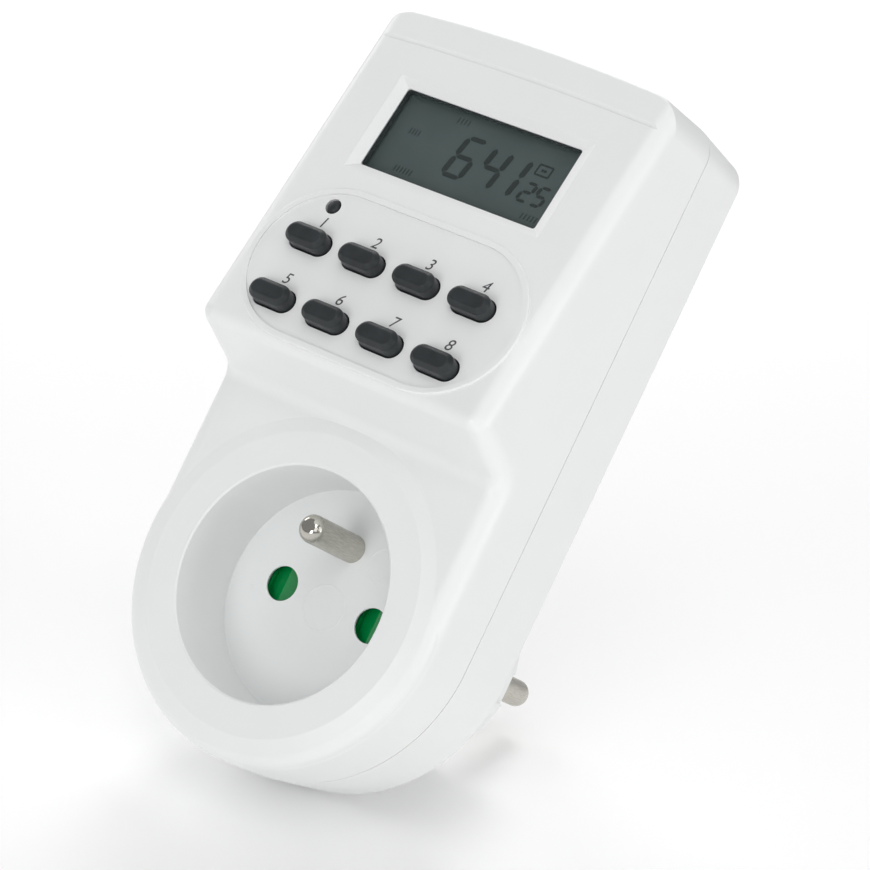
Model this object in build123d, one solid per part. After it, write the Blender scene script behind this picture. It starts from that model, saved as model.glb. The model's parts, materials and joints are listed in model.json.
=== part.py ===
from build123d import *
import os
from math import cos, degrees, radians, sin, sqrt, tan

# Plug in timer switch, in millimetres.
# +X is to the right as seen from the front, +Y goes into the wall, +Z is up.
# The origin is the centre of the plug face, midway between the roots of the two pins.

# ---------------------------------------------------------------- driving dimensions

# standard plug and socket: round pins, with an earth pin above them
PIN_SPACING = 19.0
PIN_RADIUS = 2.4
PIN_LENGTH = 19.0
PIN_TIP_ROUND = 1.5
PIN_SHANK_RADIUS = 2.0
PIN_SINK = 0.15
PIN_FLANGE_RADIUS = 3.2
PIN_FLANGE = 1.0
RIVET_RADIUS = 1.5
RIVET_HEIGHT = 0.8
EARTH_HOLE_RADIUS = 2.8
EARTH_SLEEVE_RADIUS = 3.3
EARTH_SLEEVE_LENGTH = 12.4
EARTH_OFFSET = 10.1
EARTH_PIN_LENGTH = 15.0
EARTH_TIP_ROUND = 1.9
EARTH_RIVET_RADIUS = 2.6

# depths along Y, measured from the plug face towards the front
BOSS_DEPTH = 22.1
REAR_COVER_DEPTH = 16.2
SOCKET_DEPTH = 13.9
RING_HEIGHT = 0.65
RECESS_DEPTH = 15.0

# outline of the casing at the parting line
CASE_WIDTH = 59.6
CASE_TOP = 96.25
TOP_CROWN = 1.3
TOP_CORNER_RADIUS = 5.5
WALL = 2.0
FRONT_DRAFT = 1.1
REAR_DRAFT = 3.0
FRONT_EDGE_ROUND = 3.2
TOP_EDGE_ROUND = 0.8
REAR_EDGE_ROUND = 1.5
SEAM_GROOVE = 0.25
SEAM_GROOVE_DEPTH = 0.3

# sloping deck and the step below it
DECK_TILT = 11.9
DECK_FOOT_Z = 33.9
DECK_FOOT_RISE = 14.0
STEP_FOOT_Z = 28.4
STEP_ROUND = 3.0
DECK_FOOT_ROUND = 2.3
GROOVE_PLACE = 57.7
GROOVE_WIDTH = 0.9
GROOVE_DEPTH = 0.35
GROOVE_LEAN = 0.25
GROOVE_RADIUS = 540.0

# socket ring, recess and floor
RECESS_RADIUS = 19.7
RECESS_DRAFT = 0.28
RECESS_WALL = 1.7
RIM_CHAMFER = 0.3
RING_FLAT_INSET = 4.5
RING_SHOULDER_INSET = 2.0
RING_ROLL_RADIUS = 2.2
RING_ROLL_TURN = 70
RING_REACH = 5.0
CONTACT_HOLE_RADIUS = 3.0
INSERT_THICKNESS = 2.9
INSERT_ROOF = 0.7
HOLE_LIP = 0.35
HOLE_RELIEF = 0.4
RETAINER_RADIUS = 20.4
RETAINER_THICKNESS = 1.8
RETAINER_SCREW_X = 11.0
RETAINER_SCREW_Z = -11.5
CONTACT_DEPTH = 11.8

# keys, given in the deck's own plane: across, and up the slope from its foot
KEY_PITCH = 11.1
KEY_ROW_FIRST = 7.1
KEYS_IN_ROW = 4
KEY_MIDDLE = -0.25
KEY_LENGTH = 7.9
KEY_WIDTH = 3.8
KEY_HEIGHT = 2.9
KEY_TRAVEL = 1.0
KEY_BEVEL = 0.7
KEY_GAP = 0.25
KEY_STEM_RADIUS = 1.7
KEY_FLANGE = 0.65
FLANGE_THICKNESS = 0.8
FLANGE_GAP = 0.1
RESET_X = -16.9
RESET_PLACE = 25.2
RESET_RADIUS = 1.15
RESET_STEM_RADIUS = 0.9
RESET_FLANGE = 0.8
RESET_SINK = 0.3
RESET_TRAVEL = 0.8
BEAD_HALF_LENGTH = 26.2
BEAD_LOW = 1.6
BEAD_HIGH = 28.9
BEAD_WIDTH = 1.1
BEAD_HEIGHT = 0.35
BEAD_ROUND = 0.28
MAT_THICKNESS = 0.8
MAT_MARGIN = 3.0
COLLAR_RADIUS = 3.1
COLLAR_WALL = 0.8
RESET_COLLAR_RADIUS = 2.1
RESET_COLLAR_WALL = 0.7
PAD_RADIUS = 1.9
RESET_PAD_RADIUS = 1.1
PAD_THICKNESS = 0.07
PAD_GAP = 0.08

# display
WINDOW_WIDTH = 35.5
WINDOW_HEIGHT = 15.4
WINDOW_PLACE = 41.8
WINDOW_CORNER = 0.5
BEVEL_WIDTH = 2.0
BEVEL_RISE = 1.6
BEVEL_DEPTH = 0.9
BEVEL_LIFT = 0.01
PANE_THICKNESS = 0.8
PANE_FLANGE = 1.7
LCD_WIDTH = 37.6
LCD_HEIGHT = 19.6
LCD_THICKNESS = 2.0
HOLDER_RIM = 1.6
ZEBRA_WIDTH = 2.0
ZEBRA_INSET = 1.2

# boards
BOARD_THICKNESS = 1.6
CONTROL_BOARD_DEPTH = 7.0
BOARD_SIDE_GAP = 3.4
CONTROL_BOARD_LOW = 2.2
CONTROL_BOARD_HIGH = 52.6
BOARD_POST_MIDDLE = 31.2
BOARD_POST_LOW_INSET = 1.4
BOARD_POST_HIGH_INSET = 2.3
POWER_BOARD_LOW = 34.0
POWER_BOARD_HIGH = 83.5
POWER_BOARD_STANDOFF = 1.5
POWER_SCREW_INSET = 3.0

# components on the control board's back: across, up the slope, and out from the board
CHIP_SIZE = (9.0, 12.0, 1.8)
CHIP_PLACE = (12.0, 30.0)
CHIP_STANDOFF = 0.2
CHIP_LEG = (1.4, 0.6, 0.9)
CHIP_LEG_PITCH = 1.27
CHIP_LEGS = 8
CRYSTAL_RADIUS = 1.0
CRYSTAL_LENGTH = 6.0
CRYSTAL_PLACE = (0.5, 30.0)
BATTERY_RADIUS = 7.8
BATTERY_THICKNESS = 5.4
BATTERY_PLACE = (-12.5, 36.0)
BATTERY_GAP = 0.5
BATTERY_TAB_WIDTH = 4.0
BATTERY_TAB_REACH = 3.0
BATTERY_TAB_METAL = 0.4
RIBBON_WIDTH = 12.0
RIBBON_THICKNESS = 0.9
RIBBON_INSET = 3.6
RIBBON_STUB = 4.0
RIBBON_BEND = 1.6
HEADER_SIZE = (14.0, 4.0, 4.0)
HEADER_INSET = 3.5

# components on the power board: sizes across, out and up; places across, and up from its foot
RELAY_SIZE = (15.5, 15.3, 19.0)
RELAY_PLACE = (15.75, 22.5)
RELAY_ROUND = 0.8
MAINS_CAPACITOR_SIZE = (18.0, 13.0, 7.5)
MAINS_CAPACITOR_PLACE = (-13.0, 16.25)
MAINS_CAPACITOR_ROUND = 0.6
SMOOTHING_RADIUS = 5.0
SMOOTHING_HEIGHT = 12.0
SMOOTHING_PLACE = (-15.5, 28.0)
SMOOTHING_ROUND = 0.5
VARISTOR_RADIUS = 4.5
VARISTOR_THICKNESS = 3.6
VARISTOR_HEIGHT = 6.0
VARISTOR_FOOT = (6.2, 2.5, 1.0)
VARISTOR_PLACE = (0.5, 7.0)
VARISTOR_ROUND = 0.8
DIODE_RADIUS = 1.3
DIODE_LENGTH = 5.0
DIODE_HEIGHT = 1.4
DIODE_PITCH = 4.0
DIODES = 4
DIODE_PLACE = (-20.0, 37.0)
DROPPER_RADIUS = 2.3
DROPPER_LENGTH = 11.0
DROPPER_HEIGHT = 2.6
DROPPER_PLACE = (13.0, 37.0)
AXIAL_ROUND_SHARE = 0.3
LEAD_RADIUS = 0.45
LEG_RADIUS = 0.35
LEAD_REACH = 1.25

# plug boss, a separate moulding trapped between the rear cover and the shutter's retainer
BOSS_RADIUS = 18.4
BOSS_FACE_ROUND = 2.0
BOSS_FACE_WALL = 3.5
BOSS_CAVITY_RADIUS = 15.5
BOSS_FLANGE_RADIUS = 20.2
BOSS_FLANGE = 1.8
PRESS_RING_WALL = 1.5
PRESS_RING_GAP_HALF = 15.15
PRESS_RING_GAP_LOW = 8.0
GUIDE_WIDTH = 5.5
GUIDE_DEPTH = 1.2
CLIP_CHANNEL_WIDTH = 6.0
CLIP_CHANNEL_DEPTH = 1.4
EDGE_CLIP_WIDTH = 4.8
EDGE_CLIP_METAL = 0.5
EDGE_CLIP_END = 1.6

# screws
CASE_SCREW_CIRCLE = 24.2
CASE_SCREW_SIDE_INSET = 7.8
CASE_SCREW_TOP_INSET = 7.4
CASE_SCREW_RADIUS = 1.5
CASE_SCREW_LENGTH = 20.0
CASE_HEAD_RADIUS = 2.7
CASE_HEAD_HEIGHT = 2.0
CASE_HEAD_ROUND = 0.5
CROSS_SLOT = (3.4, 1.8, 0.7)
HEAD_RECESS_DEPTH = 3.5
POST_RADIUS = 2.7
POST_BASE_RADIUS = 4.3
POST_BASE_DEPTH = 4.0
BOARD_SCREW_RADIUS = 1.0
BOARD_SCREW_REACH = 3.5
BOARD_HEAD_RADIUS = 1.9
BOARD_HEAD_HEIGHT = 1.3
BOARD_POST_RADIUS = 1.9
BOARD_FOOT_RADIUS = 2.4

# shutter
SHUTTER_TRAVEL = 6.6
SHUTTER_THICKNESS = 1.3
SHUTTER_RIDGE = 0.6
SHUTTER_RIDGE_HALF = 3.0
SHUTTER_VALLEY = 0.8
SHUTTER_VALLEY_MARGIN = 0.6
SHUTTER_HALF_HEIGHT = 4.3
BLADE_MARGIN = 0.5
POCKET_SIDE = 0.3
POCKET_END = 0.4
TAB_THICKNESS = 1.2
TAB_FROM_HOLE = 1.8
SPRING_COIL_RADIUS = 0.85
SPRING_WIRE_RADIUS = 0.18
SPRING_TURNS = 12
SPRING_BELOW = 0.6
TAB_BELOW_SPRING = 1.0
SPRING_END_INSET = 0.5
SPRING_END_GAP = 0.03

# sheet metal and wires
CLIP_METAL = 0.6
CLIP_HALF_HEIGHT = 3.0
LEAF_GRIP = 0.3
WIRE_TAB_Z = 9.6
WIRE_TAB_INSET = 1.4
LIVE_TAB_Z = 8.4
LIVE_TAB_INSET = 1.5
STRAP_METAL = 0.8
STRAP_WIDTH = 7.0
STRAP_CLEARANCE = 0.7
WIRE_RADIUS = 1.1
WIRE_BEND = 2.6
WIRE_STUB = 5.6
LIVE_STUB_X = -1.3
SWITCHED_STUB_X = 1.3
NEUTRAL_STUB_X = -0.7
SWITCHED_LEAN_X = 2.7
NEUTRAL_LEAN_X = -2.3
WIRE_LEAN_Y = 8.4
WIRE_LEAN_Z = 14.0
WIRE_CLIMB_Y = 6.0
WIRE_LOOP_HEIGHT = 7.0
WIRE_CLIMB_BELOW = 4.0
WIRE_PAD_UP = 8.0
LIVE_STUB = 4.5
LIVE_RUN = 10.0
LIVE_RUN_END = 7.6
LIVE_WIRE_X = 6.2
LIVE_WIRE_Z = 12.2
LIVE_PAD_X = 12.0
SWITCHED_PAD_X = 19.0
NEUTRAL_PAD_X = -16.0

# clearances
SLIP = 0.1
SCREW_SLIP = 0.05
SOLDER_GAP = 0.02
POST_CLEARANCE = 0.2

# how far joined forms run into each other, and cuts past a surface
LAP = 0.3
CUT = 1.0

# ---------------------------------------------------------------- derived places

case_half = CASE_WIDTH / 2
pin_x = PIN_SPACING / 2

# depths
rear_y = -BOSS_DEPTH
seam_y = rear_y - REAR_COVER_DEPTH
rim_y = seam_y - SOCKET_DEPTH
shoulder_y = rim_y + RING_HEIGHT
floor_y = rim_y + RECESS_DEPTH
roof_y = floor_y + INSERT_ROOF
insert_back_y = floor_y + INSERT_THICKNESS
retainer_y = insert_back_y + SLIP
retainer_back_y = retainer_y + RETAINER_THICKNESS
strap_y = retainer_back_y + SLIP
rear_inner_y = rear_y - WALL
boss_flange_y = rear_inner_y - BOSS_FLANGE
deck_foot_y = shoulder_y - DECK_FOOT_RISE
case_head_seat_y = rear_y - HEAD_RECESS_DEPTH

# radii of the ring
tube_radius = RECESS_RADIUS + RECESS_WALL
ring_flat = case_half - RING_FLAT_INSET
ring_shoulder = case_half - RING_SHOULDER_INSET

# the deck's own plane, and heights measured out of it
tilt = radians(DECK_TILT)
deck = Plane(origin=(0, deck_foot_y, DECK_FOOT_Z), x_dir=(1, 0, 0), z_dir=(0, -cos(tilt), sin(tilt)))
front_view = Plane.XZ
rear_view = Plane(origin=(0, 0, 0), x_dir=(-1, 0, 0), z_dir=(0, 1, 0))
board_top = -CONTROL_BOARD_DEPTH
board_back = board_top - BOARD_THICKNESS
flange_top = -WALL - FLANGE_GAP
flange_bottom = flange_top - FLANGE_THICKNESS
mat_top = board_top + MAT_THICKNESS
pad_top = board_top + PAD_THICKNESS
pane_face = -BEVEL_DEPTH - SCREW_SLIP
pane_seat = -WALL - SCREW_SLIP
pane_back = pane_seat - PANE_THICKNESS
lcd_face = pane_back - SLIP
lcd_back = lcd_face - LCD_THICKNESS

# keys, posts and screws
key_places = [
    (KEY_MIDDLE + (column - (KEYS_IN_ROW - 1) / 2) * KEY_PITCH, KEY_ROW_FIRST + row * KEY_PITCH)
    for row in (1, 0)
    for column in range(KEYS_IN_ROW)
]
board_half = case_half - WALL - BOARD_SIDE_GAP
board_post_x = board_half - BOARD_HEAD_RADIUS
board_post_clear_x = board_post_x - BOARD_POST_RADIUS - POST_CLEARANCE
board_post_places = [
    (side * board_post_x, place)
    for side in (-1, 1)
    for place in (
        CONTROL_BOARD_LOW + BOARD_POST_LOW_INSET,
        BOARD_POST_MIDDLE,
        CONTROL_BOARD_HIGH - BOARD_POST_HIGH_INSET,
    )
]
power_face_y = rear_inner_y - POWER_BOARD_STANDOFF - BOARD_THICKNESS
power_screw_places = [
    (side * (board_half - POWER_SCREW_INSET), z)
    for side in (-1, 1)
    for z in (POWER_BOARD_LOW + POWER_SCREW_INSET, POWER_BOARD_HIGH - POWER_SCREW_INSET)
]
low_screw_reach = CASE_SCREW_CIRCLE * sqrt(0.5)
high_screw_x = case_half - CASE_SCREW_SIDE_INSET
high_screw_z = CASE_TOP - CASE_SCREW_TOP_INSET
case_screw_places = [
    (-low_screw_reach, -low_screw_reach),
    (low_screw_reach, -low_screw_reach),
    (-high_screw_x, high_screw_z),
    (high_screw_x, high_screw_z),
]
retainer_screw_places = [(side * RETAINER_SCREW_X, RETAINER_SCREW_Z) for side in (-1, 1)]

# shutter
slider_front_y = insert_back_y - SLIP - SHUTTER_THICKNESS
blade_inner = pin_x - CONTACT_HOLE_RADIUS - BLADE_MARGIN
blade_outer = pin_x + CONTACT_HOLE_RADIUS + BLADE_MARGIN
tab_z = -SHUTTER_HALF_HEIGHT - 2 * SPRING_COIL_RADIUS - TAB_BELOW_SPRING
tab_inner_x = -pin_x + TAB_FROM_HOLE
spring_z = -SHUTTER_HALF_HEIGHT - SPRING_COIL_RADIUS - SPRING_BELOW
spring_end_x = pin_x - SPRING_END_INSET

# plug pins, contacts and straps
pin_flange_y = -BOSS_FACE_WALL - SLIP
foot_back_y = pin_flange_y - PIN_FLANGE
foot_front_y = foot_back_y - CLIP_METAL
clip_front_y = retainer_back_y + SLIP
clip_back_y = clip_front_y + CONTACT_DEPTH
leaf_gap = PIN_RADIUS - LEAF_GRIP
leaf_outer = leaf_gap + CLIP_METAL
rivet_hole = RIVET_RADIUS + SCREW_SLIP
clip_z = (-CLIP_HALF_HEIGHT, CLIP_HALF_HEIGHT)
sleeve_front_y = -BOSS_FACE_WALL - SLIP
sleeve_back_y = sleeve_front_y - EARTH_SLEEVE_LENGTH
strap_low_z = EARTH_OFFSET - EARTH_SLEEVE_RADIUS - SLIP
strap_run_z = EARTH_OFFSET + EARTH_SLEEVE_RADIUS + STRAP_CLEARANCE
strap_top_z = strap_run_z + STRAP_METAL

# wires and the ribbon's header
wire_tab_y = clip_back_y - CLIP_METAL - SOLDER_GAP
wire_tab_z = WIRE_TAB_Z - WIRE_TAB_INSET
wire_pad_y = power_face_y - SOLDER_GAP
wire_pad_z = POWER_BOARD_LOW + WIRE_PAD_UP
wire_climb_z = POWER_BOARD_LOW - WIRE_CLIMB_BELOW
header_z = POWER_BOARD_HIGH - HEADER_INSET


# ---------------------------------------------------------------- helpers

def rod_y(radius, y_from, y_to, x=0.0, z=0.0):
    """A round rod along Y between two depths."""
    length = y_to - y_from
    return Pos(x, (y_from + y_to) / 2, z) * Rot(90, 0, 0) * Cylinder(radius, length)


def cone_y(radius_from, radius_to, y_from, y_to):
    """A round taper along Y, on the socket's axis."""
    return Pos(0, (y_from + y_to) / 2, 0) * Rot(-90, 0, 0) * Cone(radius_from, radius_to, y_to - y_from)


def block(x_range, y_range, z_range):
    """A box given by its three spans."""
    spans = (x_range, y_range, z_range)
    centre = [(low + high) / 2 for low, high in spans]
    return Pos(*centre) * Box(*[high - low for low, high in spans])


def on_deck(shape, x, place, height=0.0):
    """Places a shape in the deck's own plane: across, up the slope, and out of it."""
    return deck.location * Pos(x, place, height) * shape


def deck_block(x_range, place_range, height_range):
    """A box given by its spans in the deck's own plane."""
    return deck.location * block(x_range, place_range, height_range)


def deck_rod(radius, x, place, height_from, height_to):
    """A round rod square to the deck."""
    middle = (height_from + height_to) / 2
    return on_deck(Cylinder(radius, height_to - height_from), x, place, middle)


def stadium(length, width, height_from, height_to):
    """A flat plate with half-round ends, lying in the local XY plane."""
    face = Pos(0, 0, height_from) * SlotOverall(length, width)
    return extrude(face, height_to - height_from)


def joined(shapes):
    """Several separate solids kept as one group."""
    return Compound(children=list(shapes))


def case_outline(inset=0.0, case_top=CASE_TOP):
    """The casing seen from the front: a half-round bottom, straight sides and a crowned top."""
    half = case_half - inset
    top = case_top - inset
    edge = top - TOP_CROWN
    outline = Curve() + [
        ThreePointArc((-half, 0), (0, -half), (half, 0)),
        Line((half, 0), (half, edge)),
        ThreePointArc((half, edge), (0, top), (-half, edge)),
        Line((-half, edge), (-half, 0)),
    ]
    face = make_face(outline)
    corners = face.vertices().group_by(Axis.Y)[-1]
    return fillet(corners, TOP_CORNER_RADIUS - inset)


def front_profile(inset=0.0):
    """The front seen from the side: shoulder, step and sloping deck, with rounded corners."""
    reach = CASE_TOP + CASE_WIDTH
    behind = seam_y + SOCKET_DEPTH
    deck_top_y = deck_foot_y + (reach - DECK_FOOT_Z) * tan(tilt)
    face = make_face(Polyline(
        (behind, -reach),
        (shoulder_y, -reach),
        (shoulder_y, STEP_FOOT_Z),
        (deck_foot_y, DECK_FOOT_Z),
        (deck_top_y, reach),
        (behind, reach),
        close=True,
    ))
    for corner_z, corner_round in ((STEP_FOOT_Z, STEP_ROUND), (DECK_FOOT_Z, DECK_FOOT_ROUND)):
        corner = [v for v in face.vertices() if abs(v.Y - corner_z) < SLIP]
        face = fillet(corner, corner_round)
    if inset:
        face = offset(face, -inset)
    return extrude(Plane.YZ * face, CASE_WIDTH, both=True)


def front_body(inset=0.0, case_top=CASE_TOP):
    """The solid form of the front half, drafted towards the front."""
    plan = front_view.offset(-seam_y) * case_outline(inset, case_top)
    prism = extrude(plan, SOCKET_DEPTH + DECK_FOOT_RISE + WALL, taper=FRONT_DRAFT)
    return prism & front_profile(inset)


def rounded_front(case_top, edge_round):
    """The front half with its front edge rounded all the way along."""
    body = front_body(case_top=case_top)
    front_edges = [edge for edge in body.edges() if abs(edge.center().Y - shoulder_y) < SLIP]
    lowest = sorted(front_edges, key=lambda edge: edge.center().Z)[0]
    return fillet(lowest, edge_round)


def rear_body(depth, inset=0.0):
    """The solid form of the rear half, drafted towards the wall."""
    plan = rear_view.offset(seam_y) * case_outline(inset)
    return extrude(plan, depth, taper=REAR_DRAFT)


# ---------------------------------------------------------------- front cover

def ring_form():
    """The low ring round the socket, which rolls over into the casing's lower edge."""
    back_y = rim_y + RING_REACH
    slope = Line((ring_flat, rim_y), (ring_shoulder, shoulder_y))
    roll = JernArc(slope @ 1, slope % 1, RING_ROLL_RADIUS, RING_ROLL_TURN)
    roll_end = roll @ 1
    profile = Curve() + [
        Line((0, rim_y), slope @ 0),
        slope,
        roll,
        Line(roll_end, (roll_end.X, back_y)),
        Line((roll_end.X, back_y), (0, back_y)),
        Line((0, back_y), (0, rim_y)),
    ]
    return revolve(make_face(profile), Axis.Y)


def key_bead():
    """The thin raised line round the two rows of keys."""
    length = 2 * BEAD_HALF_LENGTH
    height = BEAD_HIGH - BEAD_LOW
    outer = stadium(length + BEAD_WIDTH, height + BEAD_WIDTH, -LAP, BEAD_HEIGHT)
    outer = fillet(outer.faces().sort_by(Axis.Z)[-1].edges(), BEAD_ROUND)
    inner = stadium(length - BEAD_WIDTH, height - BEAD_WIDTH, -LAP - CUT, BEAD_HEIGHT + CUT)
    return on_deck(outer - inner, 0, (BEAD_HIGH + BEAD_LOW) / 2)


def window_cut():
    """The display's opening and the sloping frame round it."""
    opening = RectangleRounded(WINDOW_WIDTH, WINDOW_HEIGHT, WINDOW_CORNER)
    through = extrude(Pos(0, 0, -WALL - CUT) * opening, WALL + 2 * CUT)
    mouth = Rectangle(WINDOW_WIDTH + 2 * BEVEL_WIDTH, WINDOW_HEIGHT + 2 * BEVEL_RISE)
    throat = Rectangle(WINDOW_WIDTH, WINDOW_HEIGHT)
    bevel = loft([(Pos(0, 0, BEVEL_LIFT) * mouth).face(), (Pos(0, 0, -BEVEL_DEPTH) * throat).face()])
    return on_deck(through, 0, WINDOW_PLACE) + on_deck(bevel, 0, WINDOW_PLACE)


def groove_cut():
    """The shallow arched V groove across the top of the deck."""
    low, high = GROOVE_RADIUS - GROOVE_WIDTH / 2, GROOVE_RADIUS + GROOVE_WIDTH / 2
    bottom = (GROOVE_RADIUS - GROOVE_LEAN, -GROOVE_DEPTH)
    section = make_face(Polyline((low, 0), bottom, (high, 0), (high, CUT), (low, CUT), close=True))
    sweep_angle = degrees(CASE_WIDTH / GROOVE_RADIUS)
    ring = revolve(Plane.XZ * section, Axis.Z, revolution_arc=sweep_angle)
    return on_deck(Rot(0, 0, 90 - sweep_angle / 2) * ring, 0, GROOVE_PLACE - GROOVE_RADIUS)


def board_posts():
    """Posts under the deck for the control board, relieved wherever a key's flange travels."""
    side_room = 2 * (KEY_FLANGE + KEY_GAP)
    key_room = stadium(
        KEY_LENGTH + side_room, KEY_WIDTH + side_room, flange_bottom - KEY_TRAVEL - SLIP, -WALL)
    posts = []
    for x, place in board_post_places:
        post = deck_rod(BOARD_POST_RADIUS, x, place, board_top, -WALL + LAP)
        post = post - deck_rod(BOARD_SCREW_RADIUS + SCREW_SLIP, x, place, board_top - CUT, -WALL - LAP)
        for key_x, key_place in key_places:
            post = post - on_deck(key_room, key_x, key_place)
        posts.append(post)
    return posts


def make_front_cover():
    """White front shell: deck, step, socket ring and the wall of the recess."""
    # broad rounds down the sides, and a small one across the top
    outer = rounded_front(CASE_TOP, TOP_EDGE_ROUND)
    outer = outer & rounded_front(CASE_TOP + case_half, FRONT_EDGE_ROUND)
    cover = outer + ring_form() - front_body(WALL)

    # the recess wall, which stands on the insert's face
    cover = cover + rod_y(tube_radius, rim_y + CUT, floor_y)
    cover = cover - cone_y(RECESS_RADIUS, RECESS_RADIUS - RECESS_DRAFT, rim_y, floor_y)
    cover = cover - cone_y(RECESS_RADIUS + RIM_CHAMFER, RECESS_RADIUS, rim_y, rim_y + RIM_CHAMFER)

    cover = cover + key_bead() - window_cut()
    key_hole = stadium(KEY_LENGTH + 2 * KEY_GAP, KEY_WIDTH + 2 * KEY_GAP, -WALL - CUT, CUT)
    for x, place in key_places:
        cover = cover - on_deck(key_hole, x, place)
    cover = cover - deck_rod(RESET_RADIUS + KEY_GAP, RESET_X, RESET_PLACE, -WALL - CUT, CUT)
    cover = cover - groove_cut()
    for post in board_posts():
        cover = cover + post

    # posts for the case screws
    envelope = front_body(WALL / 2)
    pilot_end_y = case_head_seat_y - CASE_SCREW_LENGTH - CUT
    for x, z in case_screw_places:
        cover = cover + (rod_y(POST_RADIUS, deck_foot_y, seam_y, x, z) & envelope)
        cover = cover - rod_y(CASE_SCREW_RADIUS + SCREW_SLIP, pilot_end_y, seam_y + CUT, x, z)
    return cover


# ---------------------------------------------------------------- rear cover and plug boss

def make_rear_cover():
    """White rear shell, with a round opening that the plug boss stands in."""
    outer = rear_body(REAR_COVER_DEPTH)
    outer = fillet(outer.faces().sort_by(Axis.Y)[-1].edges(), REAR_EDGE_ROUND)
    seam_groove = rear_body(SEAM_GROOVE, -CUT) - rear_body(SEAM_GROOVE, SEAM_GROOVE_DEPTH)
    cover = outer - seam_groove - rear_body(REAR_COVER_DEPTH - WALL, WALL)
    cover = cover - rod_y(BOSS_RADIUS + SLIP, rear_inner_y - CUT, rear_y + CUT)

    # case screw posts with sunk heads, cut back beside the boss's flange
    envelope = rear_body(REAR_COVER_DEPTH, WALL / 2)
    flange_room = rod_y(BOSS_FLANGE_RADIUS + SLIP, seam_y, rear_inner_y)
    for x, z in case_screw_places:
        post = rod_y(POST_RADIUS, seam_y, rear_inner_y + LAP, x, z)
        base = rod_y(POST_BASE_RADIUS, rear_inner_y - POST_BASE_DEPTH, rear_inner_y + LAP, x, z)
        cover = cover + (((post + base) & envelope) - flange_room)
        cover = cover - rod_y(CASE_SCREW_RADIUS + SLIP, seam_y - CUT, rear_y + CUT, x, z)
        cover = cover - rod_y(CASE_HEAD_RADIUS + POST_CLEARANCE, case_head_seat_y, rear_y + CUT, x, z)

    # standoffs for the power board
    for x, z in power_screw_places:
        foot_y = rear_inner_y - POWER_BOARD_STANDOFF
        cover = cover + rod_y(BOARD_FOOT_RADIUS, foot_y, rear_inner_y + LAP, x, z)
        cover = cover - rod_y(BOARD_SCREW_RADIUS + SCREW_SLIP, power_face_y, rear_y - CUT, x, z)
    return cover


def make_plug_boss():
    """Round boss that carries the pins, with a flange and a ring that presses on the retainer."""
    boss = rod_y(BOSS_RADIUS, boss_flange_y, 0)
    boss = fillet(boss.edges().sort_by(Axis.Y)[-1], BOSS_FACE_ROUND)
    boss = boss + rod_y(BOSS_FLANGE_RADIUS, retainer_back_y + SLIP, rear_inner_y)
    boss = boss - rod_y(BOSS_CAVITY_RADIUS, boss_flange_y - CUT, -BOSS_FACE_WALL)
    boss = boss - rod_y(BOSS_FLANGE_RADIUS - PRESS_RING_WALL, retainer_back_y, boss_flange_y)

    # gap in the ring for the wires
    gap_x = (-PRESS_RING_GAP_HALF, PRESS_RING_GAP_HALF)
    gap_z = (PRESS_RING_GAP_LOW, BOSS_FLANGE_RADIUS + CUT)
    boss = boss - block(gap_x, (retainer_back_y, boss_flange_y), gap_z)

    # guide grooves on the pins' line, and channels for the edge earth clips
    groove_y = (rear_y, CUT)
    for side in (-1, 1):
        guide_x = sorted((side * (BOSS_RADIUS - GUIDE_DEPTH), side * (BOSS_RADIUS + CUT)))
        boss = boss - block(guide_x, groove_y, (-GUIDE_WIDTH / 2, GUIDE_WIDTH / 2))
        clip_side = sorted((side * (BOSS_RADIUS - CLIP_CHANNEL_DEPTH), side * (BOSS_RADIUS + CUT)))
        boss = boss - block((-CLIP_CHANNEL_WIDTH / 2, CLIP_CHANNEL_WIDTH / 2), groove_y, clip_side)

    # holes for the pins and for the wall socket's earth pin
    for x in (-pin_x, pin_x):
        boss = boss - rod_y(PIN_SHANK_RADIUS + SCREW_SLIP, -BOSS_FACE_WALL - CUT, CUT, x)
        boss = boss - rod_y(PIN_RADIUS + SCREW_SLIP, -PIN_SINK, CUT, x)
    return boss - rod_y(EARTH_HOLE_RADIUS, -BOSS_FACE_WALL - CUT, CUT, 0, EARTH_OFFSET)


def make_case_screws():
    """Four long screws with sunk cross heads."""
    head_end_y = case_head_seat_y + CASE_HEAD_HEIGHT
    screws = []
    for x, z in case_screw_places:
        shank = rod_y(
            CASE_SCREW_RADIUS, case_head_seat_y - CASE_SCREW_LENGTH, case_head_seat_y + LAP, x, z)
        head = rod_y(CASE_HEAD_RADIUS, case_head_seat_y, head_end_y, x, z)
        head = fillet(head.edges().sort_by(Axis.Y)[-1], CASE_HEAD_ROUND)
        for turn in (0, 90):
            head = head - Pos(x, head_end_y, z) * Rot(0, turn, 0) * Box(*CROSS_SLOT)
        screws.append(shank + head)
    return joined(screws)


# ---------------------------------------------------------------- socket and shutter

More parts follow.
